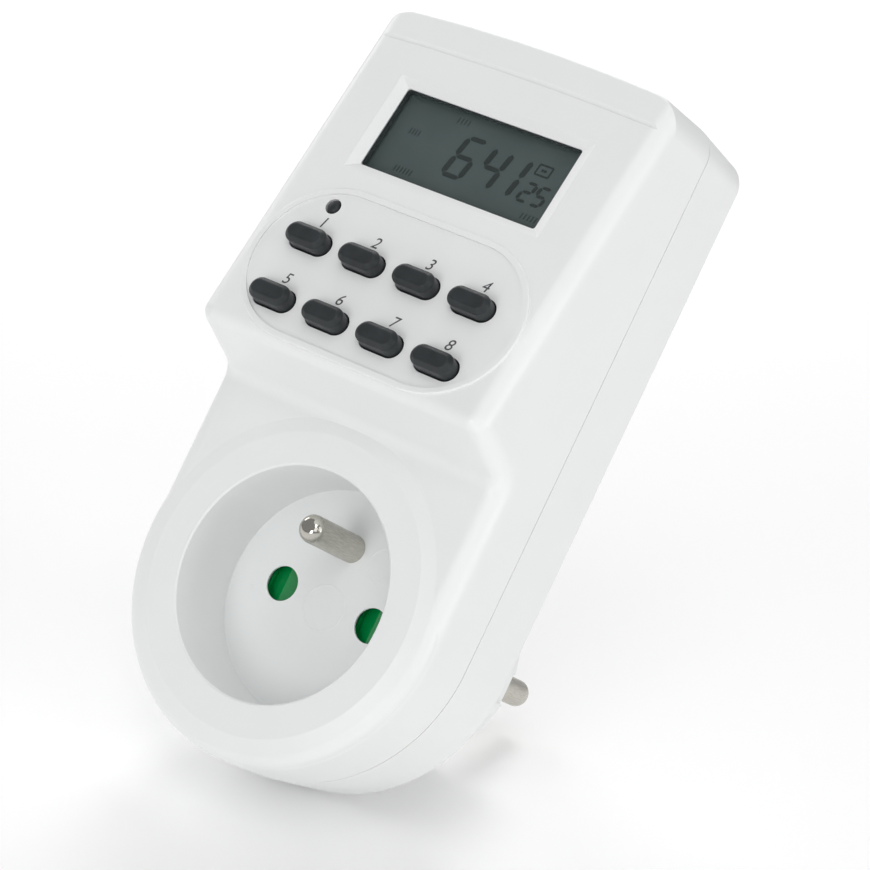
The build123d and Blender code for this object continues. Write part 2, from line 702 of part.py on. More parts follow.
def make_socket_insert():
    """Floor of the recess, with the shutter's pocket behind it."""
    insert = rod_y(tube_radius - SLIP, floor_y, insert_back_y)
    pocket_z = SHUTTER_HALF_HEIGHT + POCKET_SIDE
    pocket_x = (-blade_outer - POCKET_END, blade_outer + SHUTTER_TRAVEL + POCKET_END)
    cut_y = (roof_y, insert_back_y + CUT)
    insert = insert - block(pocket_x, cut_y, (-pocket_z, pocket_z))
    insert = insert - block((-pin_x, spring_end_x), cut_y, (tab_z - SLIP, -SHUTTER_HALF_HEIGHT))
    for x in (-pin_x, pin_x):
        insert = insert - rod_y(CONTACT_HOLE_RADIUS, floor_y - CUT, roof_y + CUT, x)
        insert = insert - rod_y(CONTACT_HOLE_RADIUS + HOLE_RELIEF, floor_y + HOLE_LIP, roof_y + CUT, x)
    insert = insert - rod_y(
        PIN_SHANK_RADIUS + SCREW_SLIP, floor_y - CUT, insert_back_y + CUT, 0, EARTH_OFFSET)
    for x, z in retainer_screw_places:
        insert = insert - rod_y(BOARD_SCREW_RADIUS + SCREW_SLIP, roof_y + SLIP, insert_back_y + CUT, x, z)
    return insert


def make_shutter():
    """Green slider with one ridged blade behind each contact hole."""
    back_y = slider_front_y + SHUTTER_THICKNESS
    shutter = block(
        (-blade_outer, blade_outer), (slider_front_y, back_y), (-SHUTTER_HALF_HEIGHT, SHUTTER_HALF_HEIGHT))
    rail = CONTACT_HOLE_RADIUS + PIN_SINK
    middle = block((-blade_inner, blade_inner), (slider_front_y - CUT, back_y + CUT), (-rail, rail))
    shutter = shutter - middle
    valley_y = slider_front_y + SHUTTER_VALLEY
    valley_z = CONTACT_HOLE_RADIUS + SHUTTER_VALLEY_MARGIN
    ridge = make_face(Polyline(
        (-SHUTTER_RIDGE_HALF, valley_y + LAP),
        (-SHUTTER_RIDGE_HALF, valley_y),
        (0, slider_front_y - SHUTTER_RIDGE),
        (SHUTTER_RIDGE_HALF, valley_y),
        (SHUTTER_RIDGE_HALF, valley_y + LAP),
        close=True,
    ))
    for x in (-pin_x, pin_x):
        hollow_x = (x - SHUTTER_RIDGE_HALF, x + SHUTTER_RIDGE_HALF)
        shutter = shutter - block(hollow_x, (slider_front_y - CUT, valley_y), (-valley_z, valley_z))
        shutter = shutter + Pos(x, 0, 0) * extrude(ridge, valley_z, both=True)
    tab_x = (tab_inner_x - TAB_THICKNESS, tab_inner_x)
    return shutter + block(tab_x, (slider_front_y, back_y), (tab_z, -SHUTTER_HALF_HEIGHT + LAP))


def make_shutter_spring():
    """Return spring between the slider's tab and the end of its channel."""
    end_gap = SPRING_WIRE_RADIUS + SPRING_END_GAP
    start = tab_inner_x + end_gap
    length = spring_end_x - end_gap - start
    path = Helix(pitch=length / SPRING_TURNS, height=length, radius=SPRING_COIL_RADIUS)
    section = Plane(origin=path @ 0, z_dir=path % 0) * Circle(SPRING_WIRE_RADIUS)
    coil = sweep(section, path=path)
    middle_y = (roof_y + insert_back_y) / 2
    return Pos(start, middle_y, spring_z) * Rot(0, 90, 0) * coil


def make_retainer():
    """Plate that closes the shutter's pocket."""
    front, back = retainer_y - CUT, retainer_back_y + CUT
    plate = rod_y(RETAINER_RADIUS, retainer_y, retainer_back_y)
    for x in (-pin_x, pin_x):
        plate = plate - rod_y(CONTACT_HOLE_RADIUS + SLIP, front, back, x)
    plate = plate - rod_y(PIN_SHANK_RADIUS + SLIP, front, back, 0, EARTH_OFFSET)
    for x, z in retainer_screw_places:
        plate = plate - rod_y(BOARD_SCREW_RADIUS + SLIP, front, back, x, z)
    return plate


def make_retainer_screws():
    """Two short screws that hold the retainer to the insert."""
    head_end_y = retainer_back_y + BOARD_HEAD_HEIGHT
    screws = []
    for x, z in retainer_screw_places:
        shank = rod_y(BOARD_SCREW_RADIUS, roof_y + LAP, retainer_back_y + LAP, x, z)
        screws.append(shank + rod_y(BOARD_HEAD_RADIUS, retainer_back_y, head_end_y, x, z))
    return joined(screws)


def make_socket_earth_pin():
    """Earth pin with a rounded tip, riveted through the insert to the earth strap."""
    pin = rod_y(PIN_RADIUS, floor_y - EARTH_PIN_LENGTH, floor_y, 0, EARTH_OFFSET)
    pin = fillet(pin.edges().sort_by(Axis.Y)[0], EARTH_TIP_ROUND)
    shank_end_y = strap_y + STRAP_METAL
    pin = pin + rod_y(PIN_SHANK_RADIUS, floor_y - CUT, shank_end_y, 0, EARTH_OFFSET)
    return pin + rod_y(EARTH_RIVET_RADIUS, shank_end_y, shank_end_y + RIVET_HEIGHT, 0, EARTH_OFFSET)


# ---------------------------------------------------------------- plug, contacts and wires

def make_plug_pin(side):
    """Round plug pin, set in the boss face and riveted behind its strap."""
    x = side * pin_x
    pin = rod_y(PIN_RADIUS, -PIN_SINK, PIN_LENGTH, x)
    pin = fillet(pin.edges().sort_by(Axis.Y)[-1], PIN_TIP_ROUND)
    pin = pin + rod_y(PIN_SHANK_RADIUS, pin_flange_y, 0, x)
    pin = pin + rod_y(PIN_FLANGE_RADIUS, foot_back_y, pin_flange_y, x)
    return pin + rod_y(RIVET_RADIUS, foot_front_y - RIVET_HEIGHT, foot_back_y, x)


def contact_clip(side):
    """Two spring leaves on a base plate, with a tab for the wire above it."""
    x = side * pin_x
    base_y = (clip_back_y - CLIP_METAL, clip_back_y)
    clip = block((x - leaf_outer, x + leaf_outer), base_y, (-CLIP_HALF_HEIGHT, WIRE_TAB_Z))
    for way in (-1, 1):
        leaf_x = sorted((x + way * leaf_gap, x + way * leaf_outer))
        clip = clip + block(leaf_x, (clip_front_y, clip_back_y), clip_z)
    return clip


def make_live_contact():
    """Socket clip on the switched side."""
    return contact_clip(1)


def make_neutral_contact():
    """Socket clip with a strap straight down to the neutral pin."""
    edge = -pin_x - leaf_outer
    strap = block((edge, edge + CLIP_METAL), (clip_back_y - LAP, foot_back_y), clip_z)
    foot = block((edge, -pin_x + CLIP_HALF_HEIGHT), (foot_front_y, foot_back_y), clip_z)
    return contact_clip(-1) + strap + foot - rod_y(rivet_hole, foot_front_y - CUT, foot_back_y + CUT, -pin_x)


def make_live_terminal():
    """Tab on the live pin's rivet."""
    tab_x = (pin_x - leaf_outer, pin_x + CLIP_HALF_HEIGHT)
    tab = block(tab_x, (foot_front_y, foot_back_y), (-CLIP_HALF_HEIGHT, LIVE_TAB_Z))
    return tab - rod_y(rivet_hole, foot_front_y - CUT, foot_back_y + CUT, pin_x)


def make_earth_strap():
    """Strap that joins the socket's earth pin to the plug's earth contact."""
    strap_x = (-STRAP_WIDTH / 2, STRAP_WIDTH / 2)
    plate = block(strap_x, (strap_y, strap_y + STRAP_METAL), (strap_low_z, strap_top_z))
    plate = plate - rod_y(
        PIN_SHANK_RADIUS + SCREW_SLIP, strap_y - CUT, strap_y + STRAP_METAL + CUT, 0, EARTH_OFFSET)
    run = block(strap_x, (strap_y, sleeve_back_y), (strap_run_z, strap_top_z))
    end = block(strap_x, (sleeve_back_y - STRAP_METAL, sleeve_back_y), (strap_low_z, strap_top_z))
    return plate + run + end


def make_plug_earth_contact():
    """Sleeve that takes the wall socket's earth pin."""
    sleeve = rod_y(EARTH_SLEEVE_RADIUS, sleeve_back_y, sleeve_front_y, 0, EARTH_OFFSET)
    return sleeve - rod_y(PIN_RADIUS + SLIP, sleeve_back_y - CUT, 0, 0, EARTH_OFFSET)


def make_plug_earth_clips():
    """Two edge strips, sunk in the boss's channels, for sockets that earth at the edge."""
    strip_x = (-EDGE_CLIP_WIDTH / 2, EDGE_CLIP_WIDTH / 2)
    floor_z = BOSS_RADIUS - CLIP_CHANNEL_DEPTH + SCREW_SLIP
    strips = []
    for side in (-1, 1):
        strip_z = sorted((side * floor_z, side * (floor_z + EDGE_CLIP_METAL)))
        strips.append(block(strip_x, (rear_y + LAP, -EDGE_CLIP_END), strip_z))
    return joined(strips)


def make_wire(points):
    """Insulated wire: straight runs joined by round bends."""
    path = FilletPolyline(*points, radius=WIRE_BEND)
    section = Plane(origin=path @ 0, z_dir=path % 0) * Circle(WIRE_RADIUS)
    return sweep(section, path=path)


def wire_to_pad(x):
    """The last stretch of each wire, over the edge of the power board to its pad."""
    return [
        (x, wire_pad_y - WIRE_CLIMB_Y, wire_climb_z),
        (x, wire_pad_y - WIRE_LOOP_HEIGHT, wire_pad_z),
        (x, wire_pad_y, wire_pad_z),
    ]


def wire_from_clip(x, lean):
    """The first stretch of a wire that leaves a socket clip's tab and leans aside."""
    return [
        (x, wire_tab_y, wire_tab_z),
        (x, wire_tab_y - WIRE_STUB, wire_tab_z),
        (x + lean, wire_tab_y - WIRE_LEAN_Y, WIRE_LEAN_Z),
    ]


def make_live_wire():
    """From the live pin's tab to the relay's side of the power board."""
    start_x = pin_x + LIVE_STUB_X
    start_y = foot_front_y - SOLDER_GAP
    start_z = LIVE_TAB_Z - LIVE_TAB_INSET
    return make_wire([
        (start_x, start_y, start_z),
        (start_x, start_y - LIVE_STUB, start_z),
        (LIVE_WIRE_X, start_y - LIVE_RUN, LIVE_WIRE_Z),
        (LIVE_WIRE_X, wire_tab_y - LIVE_RUN_END, LIVE_WIRE_Z),
        *wire_to_pad(LIVE_PAD_X),
    ])


def make_switched_wire():
    """From the relay to the live clip of the socket."""
    start = wire_from_clip(pin_x + SWITCHED_STUB_X, SWITCHED_LEAN_X)
    return make_wire([*start, *wire_to_pad(SWITCHED_PAD_X)])


def make_neutral_wire():
    """From the neutral clip to the power board."""
    start = wire_from_clip(-pin_x + NEUTRAL_STUB_X, NEUTRAL_LEAN_X)
    return make_wire([*start, *wire_to_pad(NEUTRAL_PAD_X)])


# ---------------------------------------------------------------- keys

def make_button(x, place):
    """Rubber key: rounded cap, flange under the deck and a stem over its contact."""
    stem_bottom = pad_top + PAD_GAP + KEY_TRAVEL
    cap = stadium(KEY_LENGTH, KEY_WIDTH, flange_top - LAP, KEY_HEIGHT)
    cap = chamfer(cap.faces().sort_by(Axis.Z)[-1].edges(), KEY_BEVEL)
    flange = stadium(
        KEY_LENGTH + 2 * KEY_FLANGE, KEY_WIDTH + 2 * KEY_FLANGE, flange_bottom, flange_top)
    button = on_deck(cap + flange, x, place)
    return button + deck_rod(KEY_STEM_RADIUS, x, place, stem_bottom, flange_bottom)


def make_reset_button():
    """Small round button, sunk a little below the deck."""
    stem_bottom = pad_top + PAD_GAP + RESET_TRAVEL
    cap = deck_rod(RESET_RADIUS, RESET_X, RESET_PLACE, flange_top - LAP, -RESET_SINK)
    flange = deck_rod(RESET_RADIUS + RESET_FLANGE, RESET_X, RESET_PLACE, flange_bottom, flange_top)
    stem = deck_rod(RESET_STEM_RADIUS, RESET_X, RESET_PLACE, stem_bottom, flange_bottom)
    return cap + flange + stem


def make_keypad_mat():
    """Rubber sheet on the control board, with a collar round each contact."""
    mat = deck_block(
        (-board_post_clear_x, board_post_clear_x),
        (CONTROL_BOARD_LOW + LAP, RESET_PLACE + MAT_MARGIN),
        (board_top, mat_top),
    )
    collars = [(x, place, COLLAR_RADIUS, COLLAR_WALL, KEY_TRAVEL) for x, place in key_places]
    collars.append((RESET_X, RESET_PLACE, RESET_COLLAR_RADIUS, RESET_COLLAR_WALL, RESET_TRAVEL))
    for x, place, radius, wall, travel in collars:
        mat = mat + deck_rod(radius, x, place, mat_top - LAP, flange_bottom - travel - SLIP)
        mat = mat - deck_rod(radius - wall, x, place, board_top - CUT, 0)
    for x, place in board_post_places:
        mat = mat - deck_rod(BOARD_POST_RADIUS + SLIP, x, place, board_top - CUT, 0)
    return mat


def make_contact_pads():
    """Carbon pads on the control board, one under each key."""
    pads = [deck_rod(PAD_RADIUS, x, place, board_top, pad_top) for x, place in key_places]
    pads.append(deck_rod(RESET_PAD_RADIUS, RESET_X, RESET_PLACE, board_top, pad_top))
    return joined(pads)


# ---------------------------------------------------------------- display

def make_display_window():
    """Clear pane seated behind the deck, with a raised centre that fills the opening."""
    opening = RectangleRounded(WINDOW_WIDTH - 2 * SLIP, WINDOW_HEIGHT - 2 * SLIP, WINDOW_CORNER)
    centre = extrude(Pos(0, 0, pane_seat - LAP) * opening, pane_face - pane_seat + LAP)
    seat = Rectangle(WINDOW_WIDTH + 2 * PANE_FLANGE, WINDOW_HEIGHT + 2 * PANE_FLANGE)
    flange = extrude(Pos(0, 0, pane_back) * seat, PANE_THICKNESS)
    return on_deck(centre + flange, 0, WINDOW_PLACE)


def make_lcd_panel():
    """The liquid crystal display, a sandwich of two glass plates."""
    panel = Box(LCD_WIDTH, LCD_HEIGHT, LCD_THICKNESS)
    return on_deck(panel, 0, WINDOW_PLACE, (lcd_face + lcd_back) / 2)


def make_lcd_holder():
    """Frame on the control board that fits between its posts and holds the display square."""
    height = lcd_face - SLIP - board_top
    outer = Box(2 * board_post_clear_x, LCD_HEIGHT + 2 * HOLDER_RIM, height)
    inner = Box(LCD_WIDTH + 2 * SLIP, LCD_HEIGHT + 2 * SLIP, height + 2 * CUT)
    return on_deck(outer - inner, 0, WINDOW_PLACE, board_top + height / 2)


def make_zebra_strips():
    """Rubber strips that carry the segment lines from the board to the glass."""
    height = lcd_back - board_top
    strips = []
    for side in (-1, 1):
        place = WINDOW_PLACE + side * (LCD_HEIGHT / 2 - ZEBRA_INSET)
        strip = Box(LCD_WIDTH - HOLDER_RIM, ZEBRA_WIDTH, height)
        strips.append(on_deck(strip, 0, place, board_top + height / 2))
    return joined(strips)


# ---------------------------------------------------------------- control board

def make_control_board():
    """Board under the deck that carries the key contacts and the display."""
    board = deck_block(
        (-board_half, board_half), (CONTROL_BOARD_LOW, CONTROL_BOARD_HIGH), (board_back, board_top))
    for x, place in board_post_places:
        board = board - deck_rod(BOARD_SCREW_RADIUS + SLIP, x, place, board_back - CUT, board_top + CUT)
    return board


def make_board_screws():
    """Six short screws up into the posts under the deck."""
    screws = []
    for x, place in board_post_places:
        shank = deck_rod(BOARD_SCREW_RADIUS, x, place, board_back - LAP, board_top + BOARD_SCREW_REACH)
        head = deck_rod(BOARD_HEAD_RADIUS, x, place, board_back - BOARD_HEAD_HEIGHT, board_back)
        screws.append(shank + head)
    return joined(screws)


def make_controller_chip():
    """Flat package with a row of legs on two sides."""
    x, place = CHIP_PLACE
    width, _, height = CHIP_SIZE
    leg_reach, _, leg_height = CHIP_LEG
    body = chamfer(Box(*CHIP_SIZE).edges().group_by(Axis.Z)[0], LAP)
    chip = on_deck(body, x, place, board_back - CHIP_STANDOFF - height / 2)
    for leg_x in (x - (width + leg_reach) / 2 + CHIP_STANDOFF, x + (width + leg_reach) / 2 - CHIP_STANDOFF):
        for row in range(CHIP_LEGS):
            leg_place = place + (row - (CHIP_LEGS - 1) / 2) * CHIP_LEG_PITCH
            chip = chip + on_deck(Box(*CHIP_LEG), leg_x, leg_place, board_back - leg_height / 2)
    return chip


def make_clock_crystal():
    """Small can lying on the control board."""
    can = Rot(90, 0, 0) * Cylinder(CRYSTAL_RADIUS, CRYSTAL_LENGTH)
    return on_deck(can, *CRYSTAL_PLACE, board_back - CRYSTAL_RADIUS)


battery_x, battery_place = BATTERY_PLACE
battery_near = board_back - BATTERY_GAP
battery_far = battery_near - BATTERY_THICKNESS


def make_backup_battery():
    """Round cell that keeps the clock going."""
    cell = Cylinder(BATTERY_RADIUS, BATTERY_THICKNESS)
    rims = cell.edges().group_by(Axis.Z)
    cell = fillet(rims[0] + rims[-1], CLIP_METAL)
    return on_deck(cell, battery_x, battery_place, (battery_near + battery_far) / 2)


def make_battery_tabs():
    """Two welded strips that hold the cell to the board."""
    tab_x = (battery_x - BATTERY_TAB_WIDTH / 2, battery_x + BATTERY_TAB_WIDTH / 2)
    edge = battery_place + BATTERY_RADIUS + BATTERY_TAB_METAL
    outside = edge + BATTERY_TAB_METAL
    tab_far = battery_far - BATTERY_TAB_METAL
    low = battery_place - BATTERY_TAB_REACH
    near_tab = deck_block(tab_x, (low, battery_place + BATTERY_TAB_REACH), (battery_near, board_back))
    far_tab = deck_block(tab_x, (low, outside), (tab_far, battery_far))
    leg = deck_block(tab_x, (edge, outside), (tab_far, board_back))
    return joined([near_tab, far_tab + leg])


def make_ribbon_cable():
    """Flat cable from the back of the control board down to its header."""
    place = CONTROL_BOARD_HIGH - RIBBON_INSET
    start = on_deck(Vertex(0, 0, 0), 0, place, board_back - SOLDER_GAP).center()
    away = on_deck(Vertex(0, 0, 0), 0, place, board_back - RIBBON_STUB).center()
    end_y = power_face_y - HEADER_SIZE[1] - SOLDER_GAP
    line = FilletPolyline(
        (start.Y, start.Z), (away.Y, away.Z), (end_y - RIBBON_INSET, header_z), (end_y, header_z),
        radius=RIBBON_BEND,
    )
    strip = trace(line, line_width=RIBBON_THICKNESS)
    return extrude(Plane.YZ * strip, RIBBON_WIDTH / 2, both=True)


# ---------------------------------------------------------------- power board

def on_power_board(size, place):
    """A block standing on the power board."""
    width, height, length = size
    x, up = place
    z = POWER_BOARD_LOW + up
    return Pos(x, power_face_y - height / 2, z) * Box(width, height, length)


def make_ribbon_header():
    """Connector at the end of the ribbon cable."""
    return on_power_board(HEADER_SIZE, (0.0, header_z - POWER_BOARD_LOW))


def make_power_board():
    """Board with the mains parts, on standoffs behind the display."""
    back_y = power_face_y + BOARD_THICKNESS
    board = block((-board_half, board_half), (power_face_y, back_y), (POWER_BOARD_LOW, POWER_BOARD_HIGH))
    for x, z in power_screw_places:
        board = board - rod_y(BOARD_SCREW_RADIUS + SLIP, power_face_y - CUT, back_y + CUT, x, z)
    return board


def make_power_board_screws():
    """Four short screws into the rear cover's standoffs."""
    screws = []
    for x, z in power_screw_places:
        shank = rod_y(BOARD_SCREW_RADIUS, power_face_y - LAP, rear_y - WALL / 2 - SLIP, x, z)
        head = rod_y(BOARD_HEAD_RADIUS, power_face_y - BOARD_HEAD_HEIGHT, power_face_y, x, z)
        screws.append(shank + head)
    return joined(screws)


def make_relay():
    """Sealed relay that switches the live wire."""
    body = on_power_board(RELAY_SIZE, RELAY_PLACE)
    return fillet(body.edges().filter_by(Axis.Y), RELAY_ROUND)


def make_mains_capacitor():
    """Box capacitor across the mains."""
    body = on_power_board(MAINS_CAPACITOR_SIZE, MAINS_CAPACITOR_PLACE)
    return fillet(body.edges().filter_by(Axis.Y), MAINS_CAPACITOR_ROUND)


def make_smoothing_capacitor():
    """Round electrolytic capacitor standing on the board."""
    x, up = SMOOTHING_PLACE
    can = rod_y(SMOOTHING_RADIUS, power_face_y - SMOOTHING_HEIGHT, power_face_y, x, POWER_BOARD_LOW + up)
    return fillet(can.edges().sort_by(Axis.Y)[0], SMOOTHING_ROUND)


def make_varistor():
    """Disc that limits surges, standing on its two legs."""
    x, up = VARISTOR_PLACE
    disc = Pos(x, power_face_y - VARISTOR_HEIGHT, POWER_BOARD_LOW + up)
    disc = disc * Cylinder(VARISTOR_RADIUS, VARISTOR_THICKNESS)
    return fillet(disc.edges(), VARISTOR_ROUND) + on_power_board(VARISTOR_FOOT, VARISTOR_PLACE)


def axial_part(radius, length, height, x, z, along_x):
    """A round body lying over the power board, on two bent leads."""
    turn = Rot(0, 90, 0) if along_x else Rot(0, 0, 0)
    y = power_face_y - height
    part = Pos(x, y, z) * turn * fillet(Cylinder(radius, length).edges(), radius * AXIAL_ROUND_SHARE)
    part = part + Pos(x, y, z) * turn * Cylinder(LEAD_RADIUS, length + 2 * LEAD_REACH)
    for end in (-1, 1):
        away = end * (length / 2 + LEAD_REACH - LEAD_RADIUS)
        leg_x, leg_z = (x + away, z) if along_x else (x, z + away)
        part = part + rod_y(LEG_RADIUS, y - SLIP, power_face_y, leg_x, leg_z)
    return part


def make_rectifier_diodes():
    """Four axial diodes side by side."""
    first_x, up = DIODE_PLACE
    z = POWER_BOARD_LOW + up
    return joined(
        axial_part(DIODE_RADIUS, DIODE_LENGTH, DIODE_HEIGHT, first_x + place * DIODE_PITCH, z, False)
        for place in range(DIODES)
    )


def make_dropper_resistor():
    """Power resistor lying along the board."""
    x, up = DROPPER_PLACE
    return axial_part(DROPPER_RADIUS, DROPPER_LENGTH, DROPPER_HEIGHT, x, POWER_BOARD_LOW + up, True)


# ---------------------------------------------------------------- the parts

parts = {
    "front_cover": make_front_cover,
    "rear_cover": make_rear_cover,
    "plug_boss": make_plug_boss,
    "case_screws": make_case_screws,
    "socket_insert": make_socket_insert,
    "socket_earth_pin": make_socket_earth_pin,
    "safety_shutter": make_shutter,
    "shutter_spring": make_shutter_spring,
    "shutter_retainer": make_retainer,
    "retainer_screws": make_retainer_screws,
    "live_contact": make_live_contact,
    "neutral_contact": make_neutral_contact,
    "live_terminal": make_live_terminal,
    "earth_strap": make_earth_strap,
    "plug_live_pin": lambda: make_plug_pin(1),
    "plug_neutral_pin": lambda: make_plug_pin(-1),
    "plug_earth_contact": make_plug_earth_contact,
    "plug_earth_clips": make_plug_earth_clips,
    "live_wire": make_live_wire,
    "switched_wire": make_switched_wire,
    "neutral_wire": make_neutral_wire,
    "reset_button": make_reset_button,
    "keypad_mat": make_keypad_mat,
    "contact_pads": make_contact_pads,
    "display_window": make_display_window,
    "lcd_panel": make_lcd_panel,
    "lcd_holder": make_lcd_holder,
    "zebra_strips": make_zebra_strips,
    "control_board": make_control_board,
    "board_screws": make_board_screws,
    "controller_chip": make_controller_chip,
    "clock_crystal": make_clock_crystal,
    "backup_battery": make_backup_battery,
    "battery_tabs": make_battery_tabs,
    "ribbon_cable": make_ribbon_cable,
    "ribbon_header": make_ribbon_header,
    "power_board": make_power_board,
    "power_board_screws": make_power_board_screws,
    "relay": make_relay,
    "mains_capacitor": make_mains_capacitor,
    "smoothing_capacitor": make_smoothing_capacitor,
    "varistor": make_varistor,
    "rectifier_diodes": make_rectifier_diodes,
    "dropper_resistor": make_dropper_resistor,
}

os.makedirs("parts", exist_ok=True)
for name, make in parts.items():
    export_step(make(), f"parts/{name}.step")
for number, (x, place) in enumerate(key_places, start=1):
    export_step(make_button(x, place), f"parts/button_{number}.step")
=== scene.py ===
import json
import math

import bmesh
import bpy
from mathutils import Matrix, Vector


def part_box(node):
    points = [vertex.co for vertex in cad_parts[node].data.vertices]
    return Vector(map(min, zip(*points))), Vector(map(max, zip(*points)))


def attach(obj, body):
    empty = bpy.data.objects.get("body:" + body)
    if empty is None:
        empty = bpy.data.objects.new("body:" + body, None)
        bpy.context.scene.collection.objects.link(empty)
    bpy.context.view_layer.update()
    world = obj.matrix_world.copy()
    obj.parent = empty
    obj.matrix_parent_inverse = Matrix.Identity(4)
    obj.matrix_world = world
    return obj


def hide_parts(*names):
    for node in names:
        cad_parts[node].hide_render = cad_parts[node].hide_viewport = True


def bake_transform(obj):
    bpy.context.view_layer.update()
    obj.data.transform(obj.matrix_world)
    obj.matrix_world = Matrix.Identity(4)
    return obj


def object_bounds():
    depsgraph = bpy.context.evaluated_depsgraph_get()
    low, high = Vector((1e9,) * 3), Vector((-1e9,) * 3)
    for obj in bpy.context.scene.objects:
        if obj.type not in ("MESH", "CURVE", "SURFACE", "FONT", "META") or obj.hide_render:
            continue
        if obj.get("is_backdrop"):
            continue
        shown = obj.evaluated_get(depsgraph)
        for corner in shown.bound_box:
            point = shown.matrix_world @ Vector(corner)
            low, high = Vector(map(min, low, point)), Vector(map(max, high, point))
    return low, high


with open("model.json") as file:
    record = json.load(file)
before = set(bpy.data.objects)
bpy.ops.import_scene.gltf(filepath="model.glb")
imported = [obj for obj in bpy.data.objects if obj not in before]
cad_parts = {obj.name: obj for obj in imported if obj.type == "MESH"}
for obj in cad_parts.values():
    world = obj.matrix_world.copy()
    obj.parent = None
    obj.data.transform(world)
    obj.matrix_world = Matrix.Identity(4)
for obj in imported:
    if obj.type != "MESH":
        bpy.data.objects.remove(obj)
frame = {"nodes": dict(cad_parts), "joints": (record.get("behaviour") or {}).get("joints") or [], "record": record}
cad_low, cad_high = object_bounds()

# Plug in timer switch. Lengths are metres in the CAD frame: +X right, +Y into the wall, +Z up.
MM = 0.001

# ---------------------------------------------------------------- sizes and places

# the deck's own plane: across, up the slope, and out of it
deck_out = -Vector(next(j["axis"] for j in frame["joints"] if j["name"] == "reset_press"))
deck_across = Vector((1, 0, 0))
deck_up = deck_out.cross(deck_across)
DECK_FOOT = Vector((0, -65.55, 33.9)) * MM

KEY_LENGTH = 7.9 * MM
KEY_WIDTH = 3.8 * MM
KEY_HEIGHT = 2.9 * MM
KEY_BEVEL = 0.75 * MM
KEY_EDGE = 0.16 * MM
KEY_FLANGE = 0.65 * MM
KEY_FLANGE_TOP = -2.1 * MM
KEY_FLANGE_BOTTOM = -2.9 * MM
KEY_STEM_RADIUS = 1.7 * MM
KEY_STEM_BOTTOM = -5.85 * MM
KEY_DOME = 0.1 * MM

# the reset button's dome: shares of the button's radius, and heights over its top
RESET_DOME = [
    (0.99, -0.3 * MM),
    (0.99, 0.02 * MM),
    (0.90, 0.2 * MM),
    (0.74, 0.35 * MM),
    (0.5, 0.46 * MM),
    (0.22, 0.52 * MM),
]
RESET_DOME_STEPS = 32

WINDOW_PLACE = 41.8 * MM
PANE_WIDTH = 35.3 * MM
PANE_HEIGHT = 15.2 * MM
PANE_CORNER = 0.5 * MM
PANE_FACE = -0.95 * MM
PANE_SEAT = -2.05 * MM
PANE_BACK = -2.85 * MM
PANE_FLANGE = 1.6 * MM
PANE_EDGE = 0.08 * MM
LCD_FACE = -2.95 * MM
MARK_GAP = 0.004 * MM
MARK_THICKNESS = 0.02 * MM

NUMERAL_HEIGHT = 2.0 * MM
NUMERAL_LIFT = 2.9 * MM
NUMERAL_SLANT = 0.25
FONT_SIZE_PER_HEIGHT = 1.42
INK = 0.02 * MM
INK_GAP = 0.002 * MM

deck_matrix = Matrix.Translation(DECK_FOOT) @ Matrix((deck_across, deck_up, deck_out)).transposed().to_4x4()


# ---------------------------------------------------------------- materials

LINE_STRETCH = 0.06
TIP_ROUGHNESS = 0.05
TRACK_SCALE = 260.0


class Shader:
    """A principled shader and the nodes that feed it."""

    def __init__(self, name, **constants):
        self.material = bpy.data.materials.new(name)
        self.material.use_nodes = True
        self.tree = self.material.node_tree
        self.bsdf = self.tree.nodes["Principled BSDF"]
        self.place = self.node("ShaderNodeTexCoord").outputs["Object"]
        for socket, value in constants.items():
            self.bsdf.inputs[socket.replace("_", " ")].default_value = value

    def node(self, kind, **settings):
        made = self.tree.nodes.new(kind)
        for name, value in settings.items():
            setattr(made, name, value)
        return made

    def link(self, output, target):
        self.tree.links.new(output, target)

    def noise(self, size, detail=3.0, stretch=(1, 1, 1)):
        """A noise whose features are about that size, from 0 to 1."""
        mapping = self.node("ShaderNodeMapping")
        mapping.inputs["Scale"].default_value = [s / size for s in stretch]
        noise = self.node("ShaderNodeTexNoise")
        noise.inputs["Scale"].default_value = 1.0
        noise.inputs["Detail"].default_value = detail
        self.link(self.place, mapping.inputs["Vector"])
        self.link(mapping.outputs["Vector"], noise.inputs["Vector"])
        return noise.outputs["Fac"]

    def ramp(self, value, low, high, start=0.3, end=0.7):
        """Colours between low and high as value goes from start to end."""
        ramp = self.node("ShaderNodeValToRGB")
        ramp.color_ramp.elements[0].position = start
        ramp.color_ramp.elements[1].position = end
        ramp.color_ramp.elements[0].color = (*low, 1)
        ramp.color_ramp.elements[1].color = (*high, 1)
        self.link(value, ramp.inputs["Fac"])
        return ramp.outputs["Color"]

    def spread(self, value, low, high, start=0.3, end=0.7):
        """Numbers between low and high as value goes from start to end."""
        spread = self.node("ShaderNodeMapRange")
        for socket, number in (("From Min", start), ("From Max", end), ("To Min", low), ("To Max", high)):
            spread.inputs[socket].default_value = number
        self.link(value, spread.inputs["Value"])
        return spread.outputs["Result"]

    def colour(self, output):
        self.link(output, self.bsdf.inputs["Base Color"])

    def rough(self, output):
        self.link(output, self.bsdf.inputs["Roughness"])

    def relief(self, *layers):
        """Bumps from pairs of a height and its depth in metres, finest last."""
        normal = None
        for height, depth in layers:
            bump = self.node("ShaderNodeBump")
            bump.inputs["Distance"].default_value = depth
            bump.inputs["Strength"].default_value = 1.0
            self.link(height, bump.inputs["Height"])
            if normal:
                self.link(normal, bump.inputs["Normal"])
            normal = bump.outputs["Normal"]
        self.link(normal, self.bsdf.inputs["Normal"])


